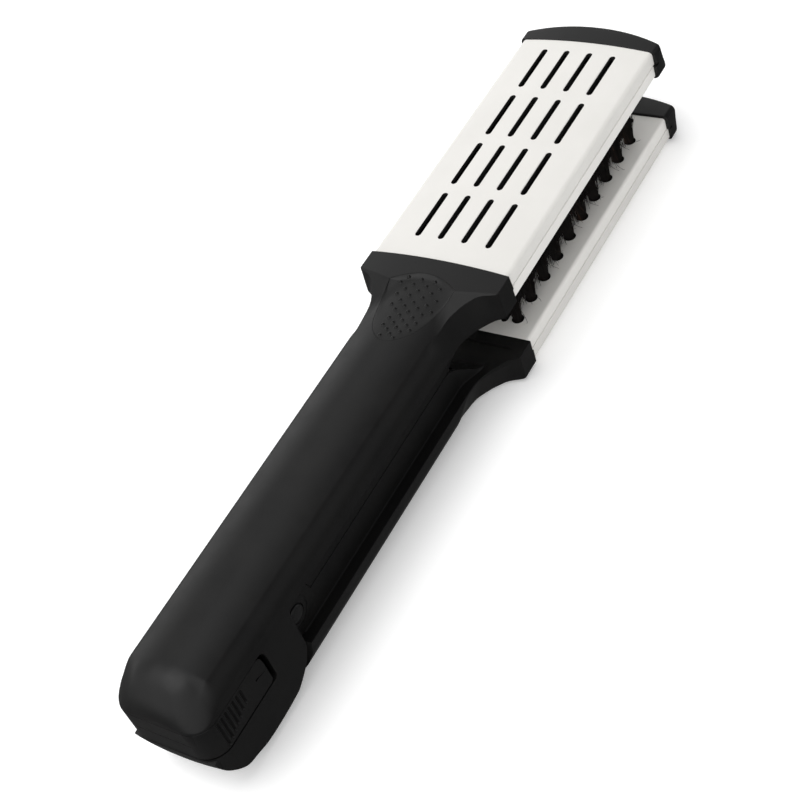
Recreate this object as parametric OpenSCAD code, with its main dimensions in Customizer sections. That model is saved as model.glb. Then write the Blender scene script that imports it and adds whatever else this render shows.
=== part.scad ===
// Two-arm hair straightening brush. Each arm is a vented paddle with a field of
// bristle tufts, a flared collar and a long handle. The arms face each other and
// turn about one pin near the tail. A slide at the tail locks them shut.
// Z up, X from the tail to the tips, Y across. The lower arm rests on Z = 0.

/* [Head] */
// Width of the vented plates
plate_w = 48; // [46:0.5:50]
// Radius of the plates' crown
crown_r = 192; // [150:1:260]
// Depth of one arm from its outer face to its bristle face
arm_t = 11.3; // [11:0.1:12]
// Clear gap between the two bristle faces when shut
face_gap = 17.6; // [17:0.1:18.4]
// Depth of the joint line between outer and inner plate
seam_d = 6.6; // [6:0.1:7]
// How far the collar and the tip cap stand proud of the plates
proud = 0.3; // [0.1:0.05:0.5]

/* [Vents] */
// Pitch of the vent slots along the arm
slot_pitch = 24; // [23:0.1:24.5]
// Length of a vent slot
slot_len = 19.8; // [12:0.1:20.5]
// Width of a vent slot
slot_w = 2; // [1:0.1:3]
// Distance between the lines of vents across the arm
slot_row = 8.4; // [8:0.1:8.8]
// Slots along one line
slots_n = 4; // [2:1:4]

/* [Bristles] */
// Pitch of the tufts along the arm
tuft_pitch = 9.4; // [9:0.1:9.6]
// Rows of tufts along the lower arm
tuft_rows = 10; // [6:1:10]
// Radius of a tuft at its foot
tuft_r = 1.25; // [1:0.05:1.4]
// Radius of a tuft near its tip
tip_r = 1.7; // [1.3:0.05:1.9]
// Height of a tuft above its plate
tuft_h = 16; // [12:0.5:16.5]
// Radius of the tuft holes in the plate
hole_r = 2; // [1.7:0.05:2.2]

/* [Handle] */
// Half width of the handle
grip_hw = 16; // [15.6:0.1:16.4]
// Radius of the handle's dome
dome_r = 29.7; // [28:0.1:34]
// Wall thickness of the handle shells
wall = 2; // [1.6:0.1:2.2]
// Height of the spine above the rim, up to the gap between the spines
spine_h = 8.65; // [7.6:0.05:8.7]
// Half width of the spine at its foot
spine_hw = 12.5; // [12.2:0.1:12.8]

/* [Hinge] */
// Distance from the origin back to the hinge pin
hinge_back = 92.3; // [92:0.1:92.6]
// Radius of the hinge pin
pin_r = 2; // [1.6:0.1:2.4]
// Radius of the lower arm's two ears
ear_r = 8.5; // [8:0.1:8.6]
// Radius of the upper arm's knuckles
knuckle_r = 6; // [5:0.1:6.2]

/* [Lock] */
// Gap in front of the slide, which it closes when it locks
lock_gap = 1.8; // [1.7:0.1:2.4]
// Number of grip grooves on each side of the slide
groove_n = 7; // [5:1:8]
// Pitch of the grip grooves
groove_pitch = 1.77; // [1.7:0.01:1.9]

/* [Hidden] */
$fn = 48;
H = 2 * arm_t + face_gap;
mid = H / 2;
xh = -hinge_back;
tail = -139;
tip = 139;
cap_x = 129.75;
capi_x = 128.95;
col_x = 24.5;
coli_x = 23.9;
hw = plate_w / 2;
chw = hw + 1;
head_x = 79;
tuft_mid = 73.9;
seam_gap = 0.2;
sheet = 1.5;
crest = arm_t + spine_h;
e = 0.05;
black = [0.09, 0.09, 0.09];
white = [0.93, 0.92, 0.9];
bristle_c = [0.12, 0.09, 0.07];

// ---------- helpers ----------
// An outline in (y, z) drawn out along X
module along_x(x0, x1) translate([x0, 0, 0]) rotate([90, 0, 90])
    linear_extrude(height = x1 - x0) children();
// An outline in (x, z) drawn out along Y
module along_y(y0, y1) translate([0, y1, 0]) rotate([90, 0, 0])
    linear_extrude(height = y1 - y0) children();
// An outline in (x, y) drawn out along Z
module along_z(z0, z1) translate([0, 0, z0])
    linear_extrude(height = z1 - z0) children();
// A round bar along Y
module bar_y(r, y0, y1, x = xh, z = mid) translate([x, y0, z])
    rotate([-90, 0, 0]) cylinder(r = r, h = y1 - y0);
// Both sides
module both() { children(); mirror([0, 1, 0]) children(); }
// Lower arm's pieces turned over into the upper arm
module upper() translate([0, 0, H]) mirror([0, 0, 1]) children();
function sag(y, r) = r - sqrt(r * r - y * y);
function flip_y(p) = [for (i = [len(p) - 1:-1:0]) [-p[i][0], p[i][1]]];
function flip_xy(p) = [for (i = [len(p) - 1:-1:0]) [p[i][0], -p[i][1]]];

// ---------- plates ----------
function crown_pts(w, z0) = [for (i = [-8:8]) let (y = (w - 0.8) * i / 8)
    [y, z0 + sag(y, crown_r)]];
module plate_out(o, top) {
    w = hw - o;
    polygon(concat(crown_pts(w, proud + o),
        [[w - 0.25, proud + o + 1.95], [w, proud + o + 2.6], [w, top],
         [-w, top], [-w, proud + o + 2.6], [-w + 0.25, proud + o + 1.95]]));
}
module slots2d(pitch = slot_pitch, len = slot_len, w = slot_w, mx = head_x)
    for (i = [0:slots_n - 1], j = [-1.5:1:1.5])
        translate([mx + (i - (slots_n - 1) / 2) * pitch, j * slot_row]) {
            square([len - w, w], center = true);
            for (s = [-1, 1]) translate([s * (len - w) / 2, 0]) circle(r = w / 2);
        }
module inner_slots2d() slots2d(pitch = 25.4, len = 21.6, w = 2.2, mx = 78.2);
module outer_plate() color(white) {
    difference() {
        along_x(col_x + e, cap_x - e) difference() {
            plate_out(0, seam_d - 0.1);
            plate_out(sheet, seam_d + 5);
        }
        along_z(-1, 4) slots2d();
    }
    // tab that goes under the collar
    along_y(-14, 14) polygon([[28, proud + 1.3], [28, proud + 3.3], [22, proud + 3.3],
        [22, proud + 2.4], [col_x + 0.2, proud + 2.4], [col_x + 0.2, proud + 1.3]]);
}
module tuft_places(rows, mx) for (i = [0:rows - 1], j = [-2:2])
    translate([mx + (i - (rows - 1) / 2) * tuft_pitch, j * slot_row, 0]) children();
module inner_plate(rows, mx) color(white) {
    inner_tray(rows, mx);
    // tongue that goes into the collar, under the inner cover
    difference() {
        along_y(-17, 17) polygon([[coli_x + 2, arm_t - 1], [coli_x + 2, arm_t - 3.8],
            [3, arm_t - 3.8], [3, arm_t - 2.1], [coli_x + e, arm_t - 2.1], [coli_x + e, arm_t - 1]]);
        translate([12, 0, 0]) cylinder(r = 3.1, h = 20);
        // narrow where the collar narrows
        both() translate([3, 12, 0]) rotate([0, 0, 30]) cube([20, 20, 20]);
    }
}
module inner_tray(rows, mx) difference() {
    along_x(coli_x + e, capi_x - e) polygon([
        [-hw, seam_d + 0.1], [-hw, arm_t - 0.8], [-hw + 0.2, arm_t - 0.3],
        [-hw + 0.8, arm_t], [hw - 0.8, arm_t], [hw - 0.2, arm_t - 0.3],
        [hw, arm_t - 0.8], [hw, seam_d + 0.1], [hw - 1.6, seam_d + 0.1],
        [hw - 1.6, seam_d - 1.4], [hw - 3.1, seam_d - 1.4], [hw - 3.1, arm_t - 1.7],
        [-hw + 3.1, arm_t - 1.7], [-hw + 3.1, seam_d - 1.4],
        [-hw + 1.6, seam_d - 1.4], [-hw + 1.6, seam_d + 0.1]]);
    tuft_places(rows, mx) translate([0, 0, 6]) cylinder(r = hole_r, h = 8);
    along_z(6, 14) inner_slots2d();
}
module bristle_bed(rows, mx) color(black) difference() {
    along_z(arm_t - 4.5, arm_t - 1.7) difference() {
        translate([26.2, -hw + 3.3]) square([100.4, 2 * hw - 6.6]);
        inner_slots2d();
    }
    tuft_places(rows, mx) translate([0, 0, arm_t - 3.9]) cylinder(r = 1.34, h = 8);
}
module bristles(rows, mx) color(bristle_c) tuft_places(rows, mx)
    translate([0, 0, arm_t - 3.9]) rotate_extrude($fn = 24)
        polygon([[0, 0], [tuft_r, 0], [tip_r, tuft_h + 2.9],
            [tip_r * 0.55, tuft_h + 3.9], [0, tuft_h + 3.9]]);
lip = 0.5;
// Front arc of the tip cap, seen from above
function cap_front() = concat([[coli_x, -chw]],
    [for (i = [-8:8]) let (y = chw * i / 8) [tip - 3.6 * pow(abs(y) / chw, 2.2), y]]);
module tip_cap() color(black) difference() {
    intersection() {
        along_x(cap_x - 6, tip + 1) polygon(concat(crown_pts(chw - 0.1, 0),
            [[chw, 3.2], [chw, arm_t - 0.2], [chw - 1.4, arm_t + lip],
             [-chw + 1.4, arm_t + lip], [-chw, arm_t - 0.2], [-chw, 3.2]]));
        along_z(-1, arm_t + lip + 1) polygon(concat(
            [for (i = [-8:8]) let (y = chw * i / 8) [tip - 3.6 * pow(abs(y) / chw, 2.2), y]],
            [[cap_x - 5, chw], [cap_x - 5, -chw]]));
        // rear face, with the tongue that goes between the plates
        along_y(-30, 30) polygon([[cap_x, -1], [150, -1], [150, 20], [capi_x, 20],
            [capi_x, seam_d], [cap_x, seam_d]]);
    }
    // hollow
    along_x(cap_x + 1.2, tip - 5.5) polygon([[-hw + 1.4, 3.2], [hw - 1.4, 3.2],
        [hw - 1.4, arm_t - 1.6], [-hw + 1.4, arm_t - 1.6]]);
    // notch in the side at the plates' joint line
    both() translate([cap_x - 2, chw - 0.5, seam_d - 0.35]) cube([3.2, 2, 0.7]);
}
module cap_tongue() color(black)
    along_x(cap_x - 3.6, cap_x + 0.5) polygon([[-19, 3.4], [19, 3.4], [19, 5.2], [-19, 5.2]]);

// ---------- handle ----------
function dome(y) = max(0, sag(abs(y), dome_r) - 0.15);
function grip_half(o) = let (k = (grip_hw - o) / 16) [
    [3 * k, o], [6 * k, o + dome(6)], [8.5 * k, o + dome(8.5)],
    [10.5 * k, o + dome(10.5)], [12.2 * k, o + dome(12.2)],
    [13.2 * k, o + 3.25], [14.2 * k, o + 4.45], [15.1 * k, o + 5.9],
    [15.65 * k, o + 7.2], [15.85 * k, o + 8.4]];
module grip(o, top) polygon(concat(flip_y(grip_half(o)), grip_half(o),
    [[grip_hw - o, top], [-(grip_hw - o), top]]));
// Outline of the collar and its flare, seen from above
function flare_half(o) = [[14.9, chw - 2.6 - o], [12.5, chw - 4.6 - o],
    [9.8, chw - 6.4 - o], [7.2, chw - 7.6 - o], [4.7, chw - 8.5 - o],
    [1.6, chw - 9 - o], [-3, grip_hw - 0.05 - o]];
module flare2d(o, x0, x1) polygon(concat([[x1, -chw + o], [x1, chw - o], [16.7, chw - o]],
    flare_half(o), [[x0, grip_hw - 0.05 - o], [x0, -grip_hw + 0.05 + o]],
    flip_xy(flare_half(o)), [[16.7, -chw + o]]));
module collar_yz(o, top) polygon(concat(crown_pts(chw - o - 0.2, o),
    [[chw - o, o + 3.2], [chw - o, top], [-chw + o, top], [-chw + o, o + 3.2]]));
// Collar: flat across at its front, with two facets that run down into the dome
module collar_solid(o, top) intersection() {
    along_x(-8, col_x) collar_yz(o, top);
    along_z(-1, top + 1) flare2d(o, -8, col_x);
    along_y(-30, 30) polygon([[col_x, o - 1], [15, o - 1], [15, o], [-3, o + 3.7],
        [-8, o + 4.6], [-8, top], [col_x, top]]);
}
// Outline of the thumb grip: a curved front and sides that close towards the rear
pad_side = [[13.9, 11.5], [9.6, 11], [5, 10.2], [-1, 8.7], [-4.5, 7.2], [-7.5, 4.8], [-9.1, 2.6]];
function pad_half(o) = [for (p = pad_side) [p[0] + 0.5 * o, p[1] - o]];
module pad2d(o) polygon(concat(
    [for (i = [-6:6]) let (y = (11.5 - o) * i / 6) [18.3 - o - 0.032 * y * y, y]],
    pad_half(o), [[-9.95 + o, 0]], flip_xy(pad_half(o))));
module pad_pocket() difference() {
    along_z(-2, 5) pad2d(0);
    along_x(-20, 30) grip(1, 14);
}
module shell_base(x0, x1) difference() {
    union() {
        along_x(x0, 17.5) grip(0, arm_t);
        collar_solid(0, arm_t);
    }
    difference() {
        union() {
            along_x(x1, 17.5) grip(wall, arm_t + 3);
            collar_solid(wall, arm_t + 3);
            along_x(15, col_x + 1) collar_yz(wall, arm_t + 3);
        }
        // floor under the thumb grip
        intersection() {
            along_z(0, 7) pad2d(-1.4);
            along_x(-20, 21) difference() { grip(1, 14); grip(2.2, 15); }
        }
    }
    pad_pocket();
    // step at the bristle face, where the inner plate starts
    translate([coli_x, -30, seam_d]) cube([5, 60, 10]);
}
module screw_post(x, y, z0) translate([x, y, z0]) difference() {
    cylinder(r = 3, h = arm_t - 2 - z0);
    translate([0, 0, 1.6]) cylinder(r = 1.1, h = 20);
}
post_x = [-70, -25, 12];

module lower_handle_shell() color(black) {
    difference() {
        shell_base(-101, -104);
        // rear end, hollowed round the tail box of the other arm
        along_y(-30, 30) polygon([[-110, -1], [-101.2, -1], [-100.6, 1.6], [-99.3, 3.6],
            [-97.5, 5.8], [-95.9, 8.8], [-94.7, 12], [-94.7, 15], [-110, 15]]);
    }
    // end wall
    intersection() {
        along_y(-13.9, 13.9) polygon([[-98.6, 1.8], [-96, 2], [-94.6, 4], [-93, 6.6], [-91.6, 9.2],
            [-93.8, 9.2], [-95.9, 8.8], [-97.5, 5.8], [-99.3, 3.6]]);
        along_x(-104, -90) grip(1, 14);
    }
    for (x = post_x) screw_post(x, 0, 1.9);
}
// Inner cover with its spine, the two ears of the hinge and the catch tongue
module cover_plan(x0) polygon(concat([[coli_x, -chw + wall + 0.1], [coli_x, chw - wall - 0.1],
    [17, chw - wall - 0.1]], flare_half(wall + 0.1),
    [[-7.5, grip_hw - wall - 0.4], [x0, grip_hw - wall - 0.4],
    [x0, -grip_hw + wall + 0.4], [-7.5, -grip_hw + wall + 0.4]],
    flip_xy(flare_half(wall + 0.1)), [[17, -chw + wall + 0.1]]));
module spine_out() along_x(-101, 12) polygon([[-spine_hw, arm_t - 0.5], [-spine_hw, arm_t],
    [-spine_hw + 0.3, arm_t + 0.8], [-spine_hw + 0.8, crest - 0.5],
    [-spine_hw + 1.3, crest], [spine_hw - 1.3, crest], [spine_hw - 0.8, crest - 0.5],
    [spine_hw - 0.3, arm_t + 0.8], [spine_hw, arm_t], [spine_hw, arm_t - 0.5]]);
module spine_in(x0, x1) along_x(x0, x1) polygon([[-spine_hw + 2.4, arm_t - 3],
    [-spine_hw + 2.4, crest - 1.8], [spine_hw - 2.4, crest - 1.8],
    [spine_hw - 2.4, arm_t - 3]]);
module cover_base(x0) {
    difference() {
        union() {
            along_z(arm_t - 2, arm_t) cover_plan(x0);
            difference() {
                spine_out();
                // rear end of the spine and its sloping front
                along_y(-30, 30) polygon([[-110, 0], [xh, 0], [xh, 30], [-110, 30]]);
                along_y(-30, 30) polygon([[5.5, crest + 1], [5.5, crest], [8, crest - 1.2],
                    [12, arm_t], [13, arm_t], [13, crest + 1]]);
            }
        }
        spine_in(-86, 3.5);
        // screw seats in the crest
        for (x = post_x) if (x < 0) translate([x, 0, crest - 1.2]) cylinder(r = 2.7, h = 3);
        for (x = post_x) if (x < 0) translate([x, 0, crest - 4]) cylinder(r = 1.5, h = 5);
        for (x = post_x) if (x > 0) translate([x, 0, arm_t - 1.15]) cylinder(r = 2.7, h = 3);
        for (x = post_x) if (x > 0) translate([x, 0, arm_t - 4]) cylinder(r = 1.5, h = 5);
    }
    // rib that a spring leg bears on
    translate([-77, -spine_hw + 2.2, arm_t - 2]) cube([1.4, 2 * spine_hw - 4.4, mid - 4.1 - arm_t + 2]);
    // tubes for the screws, from the crest down to the posts
    for (x = post_x) if (x < 0) translate([x, 0, arm_t - 2]) difference() {
        cylinder(r = 3.6, h = crest - 1.6 - arm_t + 2);
        translate([0, 0, -1]) cylinder(r = 1.5, h = 12);
    }
}
module lower_inner_cover() color(black) difference() {
    union() {
        difference() {
            cover_base(-97);
            // room for the other arm's knuckles and the spring
            bar_y(knuckle_r + 0.5, -9.2, 9.2);
            translate([xh - 8, -9.2, arm_t + 1.9]) cube([14.6, 18.4, 12]);
        }
        // ears
        both() intersection() {
            translate([xh - 10, 9.2, arm_t - 2]) cube([24, spine_hw - 9.4, 24]);
            union() {
                bar_y(ear_r, 8, 14);
                translate([xh, 8, arm_t - 2]) cube([8, 6, spine_h + 2]);
            }
        }
        // raised collar round the pin's head
        both() difference() {
            bar_y(5.2, spine_hw - 0.3, spine_hw + 0.3);
            bar_y(3.3, spine_hw - 1, spine_hw + 1);
        }
        // catch tongue, which goes under the knuckles into the tail
        along_y(-5.5, 5.5) polygon([[-84, 9.4], [-96.4, 9.4], [-97.6, 10.6], [-101, 10.6],
            [-107.4, 17.1], [-120, 17.1], [-120, mid - 0.6], [-105.5, mid - 0.6],
            [-99.8, 13.2], [-84, 13.2]]);
    }
    bar_y(pin_r + 0.02, -14, 14);
    // flat end above the shell's end wall
    along_y(-30, -5.5) polygon([[-100, 5], [-95.2, 5], [-95.2, 11.35], [-100, 11.35]]);
    along_y(5.5, 30) polygon([[-100, 5], [-95.2, 5], [-95.2, 11.35], [-100, 11.35]]);
}
// Rows of the small domes: place along X, first place across, how many
pad_rows = [[16.1, -3.45, 3], [13.95, -6.2, 4], [11.8, -4.4, 3], [9.5, -7.3, 4], [7.1, -5.4, 3],
    [5.2, -7.9, 4], [3.3, -5.7, 3], [1.4, -3.7, 2], [-0.4, -5.85, 3], [-2.05, -3.6, 2],
    [-3.65, -5.6, 3], [-5.1, -3.1, 2], [-6.65, -0.4, 1], [-8, -2.45, 2]];
module thumb_pad() color([0.13, 0.13, 0.13]) difference() {
    union() {
        intersection() {
            along_z(-1, 5) pad2d(0.1);
            along_x(-12, 22) grip(0.45, 14);
        }
        // staggered small domes
        for (r = pad_rows, i = [0:r[2] - 1]) let (y = r[1] + 4.65 * i)
            translate([r[0], y, dome(y) + 0.85]) sphere(r = 0.65, $fn = 20);
    }
    along_x(-13, 23) grip(1, 15);
}
// Countersunk-head screws: driven from the crest into the posts
module screw(len) {
    translate([0, 0, -1.1]) difference() {
        cylinder(r = 2.5, h = 1.1);
        translate([-1.6, -0.25, 0.6]) cube([3.2, 0.5, 1]);
        translate([-0.25, -1.6, 0.6]) cube([0.5, 3.2, 1]);
    }
    translate([0, 0, -len]) cylinder(r = 1.08, h = len - 1.05);
}
module handle_screws() color("silver") for (x = post_x)
    translate([x, 0, x < 0 ? crest - 0.1 : arm_t - 0.05])
        rotate([0, 0, x]) screw(x < 0 ? 14.5 : 6.5);

// ---------- upper arm: shell with the tail box ----------
// Side view of the cheek, from its front edge round the underside to the tail
cheek = [[-92, 8], [-95.6, arm_t], [-96.2, 13], [-96.4, 20], [-96.5, 26.8], [-98.2, 30.4],
    [-100.3, 32.8], [-104.8, 35.7], [-107.4, 36.4], [-114, 36.9], [-122, 36.8],
    [-126.6, 35.8], [-131, 34.7], [-134.4, 32.2], [-136.8, 29.8], [-138.2, 26.5],
    [-138.7, 24.2], [-139, 18], [-139, 8]];
tail_r = 7.2;
function tail_arc(o) = [for (i = [0:6]) let (a = 15 * i)
    [tail + tail_r - (tail_r - o) * sin(a), grip_hw - tail_r + (tail_r - o) * cos(a)]];
module tail_plan(o) polygon(concat([[xh + 40, grip_hw - o]], tail_arc(o), flip_xy(tail_arc(o)),
    [[xh + 40, -grip_hw + o]]));
// Side view of the dome's end
function end_arc(o) = [for (i = [0:9]) let (a = 10 * i)
    [tail + 13 - (13 - o) * sin(a), 11 - (11 - o) * cos(a)]];
module tail_side(o) polygon(concat([[xh + 30, o]], end_arc(o),
    [[tail + o, 50], [xh + 30, 50]]));
module tail_block(o) intersection() {
    along_x(tail - 1, xh + 30) grip(o, 50);
    along_z(-1, 60) tail_plan(o);
    along_y(-30, 30) tail_side(o);
}
// Opening for the lock slide: two side windows joined round the end
win_top = arm_t - 0.2;
win_low = 23.6;
win_x = -109.4;
module lock_window(g) along_y(-30, 30) polygon([[win_x, win_top + 3 + g], [win_x - 0.4, win_top + 1.3 + g],
    [win_x - 1.9, win_top + g], [-150, win_top + g], [-150, win_low - g],
    [win_x - 0.9, win_low - g], [win_x, win_low - 1.2 - g]]);
module upper_handle_shell() color(black) upper() {
    difference() {
        union() {
            difference() {
                shell_base(xh + 20, xh + 15);
                translate([-200, -50, -5]) cube([200 + xh + 20, 100, 60]);
            }
            difference() {
                intersection() {
                    tail_block(0);
                    along_y(-30, 30) polygon(concat([[xh + 20, -1], [xh + 20, arm_t]],
                        [for (i = [1:17]) cheek[i]], [[-145, 8], [-145, -1]]));
                }
                tail_block(wall);
            }
        }
        lock_window(0);
    }
    for (x = post_x) screw_post(x, 0, 1.9);
    // posts that take the tail cover's screws
    both() translate([tail_post[0], tail_post[1], 3.4]) difference() {
        cylinder(r = 2.3, h = 26.6);
        translate([0, 0, 14]) cylinder(r = 0.9, h = 20);
    }
}
module knuckle_2d() { translate([xh, mid]) circle(r = knuckle_r);
    translate([xh - knuckle_r, arm_t - 2]) square([2 * knuckle_r, mid - arm_t + 2]); }
module upper_inner_cover() color(black) upper() difference() {
    union() {
        difference() {
            cover_base(-95.4);
            // room for the other arm's ears
            both() bar_y(ear_r + 0.3, 9, 30);
            translate([xh - 8, -9.2, arm_t]) cube([14.6, 18.4, 12]);
        }
        both() along_y(4.6, 8.6) knuckle_2d();
    }
    bar_y(pin_r + 0.06, -14, 14);
}
// Underside of the tail box, with the rails that carry the latch
tail_post = [-105, 10.9];
module cheek_below() along_y(-30, 30) polygon(concat([for (i = [5:17]) cheek[i]], [[-98.2, 18]]));
module tail_cover() color(black) upper() difference() {
    union() {
        intersection() {
            tail_block(wall + 0.1);
            along_y(-30, 30) polygon(concat([[-98.4, 30.7]], [for (i = [6:16]) cheek[i]],
                [[tail + 4.3, 24.6], [tail + 4.6, 26.2], [tail + 6, 28.6],
                 [tail + 8.8, 31.2], [-126, 33.6], [-122, 34.6], [-114, 34.8],
                 [-108, 34.4], [-105.8, 33.8], [-101.8, 31.2], [-100.4, 29.6]]));
        }
        intersection() {
            cheek_below();
            union() {
                // rails under the latch
                both() translate([-133, 8, mid + 0.4]) cube([10.5, 2, 20]);
                // seat of the detent
                translate([-131.6, -9, 23.4]) cube([2, 18, 20]);
                // sleeves of the two screws
                both() translate([tail_post[0], tail_post[1], 30.1]) cylinder(r = 2.3, h = 10);
            }
        }
    }
    both() translate([tail_post[0], tail_post[1], 20]) {
        cylinder(r = 1.2, h = 20);
        translate([0, 0, 13.6]) cylinder(r = 1.95, h = 10);
    }
}

// ---------- hinge ----------
module hinge_pin() color("silver") {
    bar_y(pin_r, -12.4, 12.6);
    // domed heads with a ring groove
    both() translate([xh, 12.4, mid]) rotate([-90, 0, 0]) rotate_extrude()
        polygon(concat([[0, 0], [3, 0], [3, 0.35]], [for (i = [0:6]) let (a = i * 15)
            [3 * cos(a), 0.35 + 0.85 * sin(a)]]));
}
module hinge_washers() color("gainsboro") both() difference() {
    bar_y(4.6, 8.64, 9.16);
    bar_y(pin_r + 0.08, 8, 10);
}
// Torsion spring: coil round the pin, one leg to each arm
coil_r = 3.5;
wire = 0.55;
turns = 5;
coil_n = 14 * turns;
leg_n = 3;
function coil_at(i) = let (a = -90 + 360 * i / 14, s = i / coil_n)
    [xh - coil_r * cos(a + 180) * -1, -3.6 + 7.2 * s, mid + coil_r * sin(a)];
function spring_path() = concat(
    [[xh + 17, -3.6, mid - coil_r], [xh + 9, -3.6, mid - coil_r]],
    [for (i = [0:coil_n - 7]) let (a = -90 - 360 * i / 14, s = i / (coil_n - 7))
        [xh + coil_r * cos(a), -3.6 + 7.2 * s, mid + coil_r * sin(a)]],
    [[xh + 9, 3.6, mid + coil_r], [xh + 17, 3.6, mid + coil_r]]);
function unit(v) = v / norm(v);
function tangent(p, i) = unit(p[min(i + 1, len(p) - 1)] - p[max(i - 1, 0)]);
function ring(p, i, r) = let (t = tangent(p, i), u = [0, 1, 0], v = unit(cross(t, u)), w = cross(v, t))
    [for (k = [0:7]) p[i] + r * (v * cos(45 * k) + w * sin(45 * k))];
module tube(p, r) {
    n = len(p);
    polyhedron(points = [for (i = [0:n - 1]) each ring(p, i, r)],
        faces = concat([[for (k = [0:7]) k]],
            [for (i = [0:n - 2], k = [0:7]) [i * 8 + k, (i + 1) * 8 + k,
                (i + 1) * 8 + (k + 1) % 8, i * 8 + (k + 1) % 8]],
            [[for (k = [7:-1:0]) (n - 1) * 8 + k]]));
}
module hinge_spring() color("silver") tube(spring_path(), wire);

// ---------- lock ----------
slide_x = win_x - lock_gap;
module lock_slide() color(black) upper() difference() {
    union() {
        intersection() {
            difference() {
                tail_block(0);
                tail_block(wall + 0.3);
            }
            translate([-lock_gap, 0, 0]) lock_window(0.2);
        }
        // flanges behind the edges of the window
        both() translate([-133, grip_hw - wall - 1.45, win_top - 1.2])
            cube([20, 1.1, win_low - win_top + 2.4]);
    }
    // grip grooves, shorter towards the front
    both() for (i = [0:groove_n - 1])
        translate([-132.85 + i * groove_pitch, grip_hw - 0.45, win_top + 1])
            cube([0.85, 2, 11 - i * 0.72]);
    // short plain mark in front of the grooves
    both() along_y(grip_hw - 0.3, grip_hw + 1) polygon([[-116.1, 15.98], [-115, 16.12],
        [-111.9, 17.2], [-111.9, 17.5], [-114.7, 16.7], [-116.1, 16.6]]);
    // faint line across the end
    translate([tail - 1, -8.5, 16.9]) cube([1.15, 17, 0.3]);
}
module lock_latch() color([0.2, 0.2, 0.21]) upper() difference() {
    along_z(mid - 1.7, mid + 0.3) polygon([[-134, -12.55], [-134, 12.55], [-124, 12.55], [-124, 5.5],
        [-120.3, 5.5], [-120.3, -5.5], [-124, -5.5], [-124, -12.55]]);
    // two grooves for the detent
    for (x = [-126.5, -128]) bar_y(0.5, -4, 4, x, mid + 0.5);
    // screw holes
    for (y = [-6.5, 6.5]) translate([-132, y, 10]) cylinder(r = 0.9, h = 20);
}
module tail_screws() color("silver") upper() both()
    translate([tail_post[0], tail_post[1], 33.6]) rotate([180, 0, 0]) {
        translate([0, 0, -1]) difference() {
            cylinder(r = 1.85, h = 1);
            translate([-1.2, -0.2, -0.5]) cube([2.4, 0.4, 1]);
            translate([-0.2, -1.2, -0.5]) cube([0.4, 2.4, 1]);
        }
        cylinder(r = 0.88, h = 12);
    }
module lock_detent() color("silver") upper() along_y(-2.5, 2.5)
    polygon([[-131.6, 23.4], [-129.4, 23.4], [-126.5, 20.95], [-124.6, 22.6], [-124.2, 22.3],
        [-126.3, 20.55], [-126.7, 20.55], [-129.5, 23], [-131.6, 23]]);

outer_plate();  // lower_outer_plate
inner_plate(tuft_rows, tuft_mid);  // lower_inner_plate
bristle_bed(tuft_rows, tuft_mid);  // lower_bristle_bed
bristles(tuft_rows, tuft_mid);  // lower_bristles
union() { tip_cap(); cap_tongue(); }  // lower_tip_cap
lower_handle_shell();
lower_inner_cover();
thumb_pad();  // lower_thumb_pad
handle_screws();  // lower_screws
upper() outer_plate();  // upper_outer_plate
upper() inner_plate(tuft_rows - 1, tuft_mid);  // upper_inner_plate
upper() bristle_bed(tuft_rows - 1, tuft_mid);  // upper_bristle_bed
upper() bristles(tuft_rows - 1, tuft_mid);  // upper_bristles
upper() { tip_cap(); cap_tongue(); }  // upper_tip_cap
upper_handle_shell();
upper_inner_cover();
upper() thumb_pad();  // upper_thumb_pad
upper() handle_screws();  // upper_screws
tail_cover();
hinge_pin();
hinge_washers();
hinge_spring();
lock_slide();
lock_latch();
lock_detent();
tail_screws();
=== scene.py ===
import bpy, bmesh, math
import numpy as np
from mathutils import Matrix, Vector


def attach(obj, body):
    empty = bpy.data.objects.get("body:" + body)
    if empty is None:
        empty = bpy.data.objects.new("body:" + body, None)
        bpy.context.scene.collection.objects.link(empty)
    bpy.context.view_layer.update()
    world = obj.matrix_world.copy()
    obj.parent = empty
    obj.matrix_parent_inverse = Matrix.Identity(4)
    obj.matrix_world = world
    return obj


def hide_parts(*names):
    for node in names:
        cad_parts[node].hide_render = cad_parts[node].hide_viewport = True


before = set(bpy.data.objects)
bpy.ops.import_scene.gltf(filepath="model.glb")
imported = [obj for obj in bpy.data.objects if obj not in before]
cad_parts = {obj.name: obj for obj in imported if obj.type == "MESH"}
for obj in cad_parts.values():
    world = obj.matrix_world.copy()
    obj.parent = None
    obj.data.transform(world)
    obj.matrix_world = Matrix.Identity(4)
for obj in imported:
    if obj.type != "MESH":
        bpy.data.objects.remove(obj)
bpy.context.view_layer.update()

MM = 0.001
H = 40.2          # overall height, mm
ARM = 11.3        # depth of one arm
SEAM = 6.6        # joint line between the plates
PROUD = 0.3
MID = H / 2
XH = -92.3        # hinge pin
TAIL = -139.0
COL_X = 24.5      # front of the collar
CAP_X = 129.75    # rear of the tip cap
CREST = ARM + 8.7
rng = np.random.default_rng(7)
scene = bpy.context.scene

# ---------------------------------------------------------------- camera
cam_data = bpy.data.cameras.new("camera")
cam = bpy.data.objects.new("camera", cam_data)
scene.collection.objects.link(cam)
cam_data.sensor_width = 36.0
cam_data.lens = 75.738
cam_data.clip_start = 0.01
right = Vector((0.477161, -0.834471, -0.275637))
up_v = Vector((0.729013, 0.200697, 0.654416))
back = Vector((-0.490771, -0.513205, 0.704105))
m = Matrix.Identity(4)
for i in range(3):
    m[i][0], m[i][1], m[i][2] = right[i], up_v[i], back[i]
m.translation = Vector((-0.261216, -0.259814, 0.373336))
cam.matrix_world = m
scene.camera = cam


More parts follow.
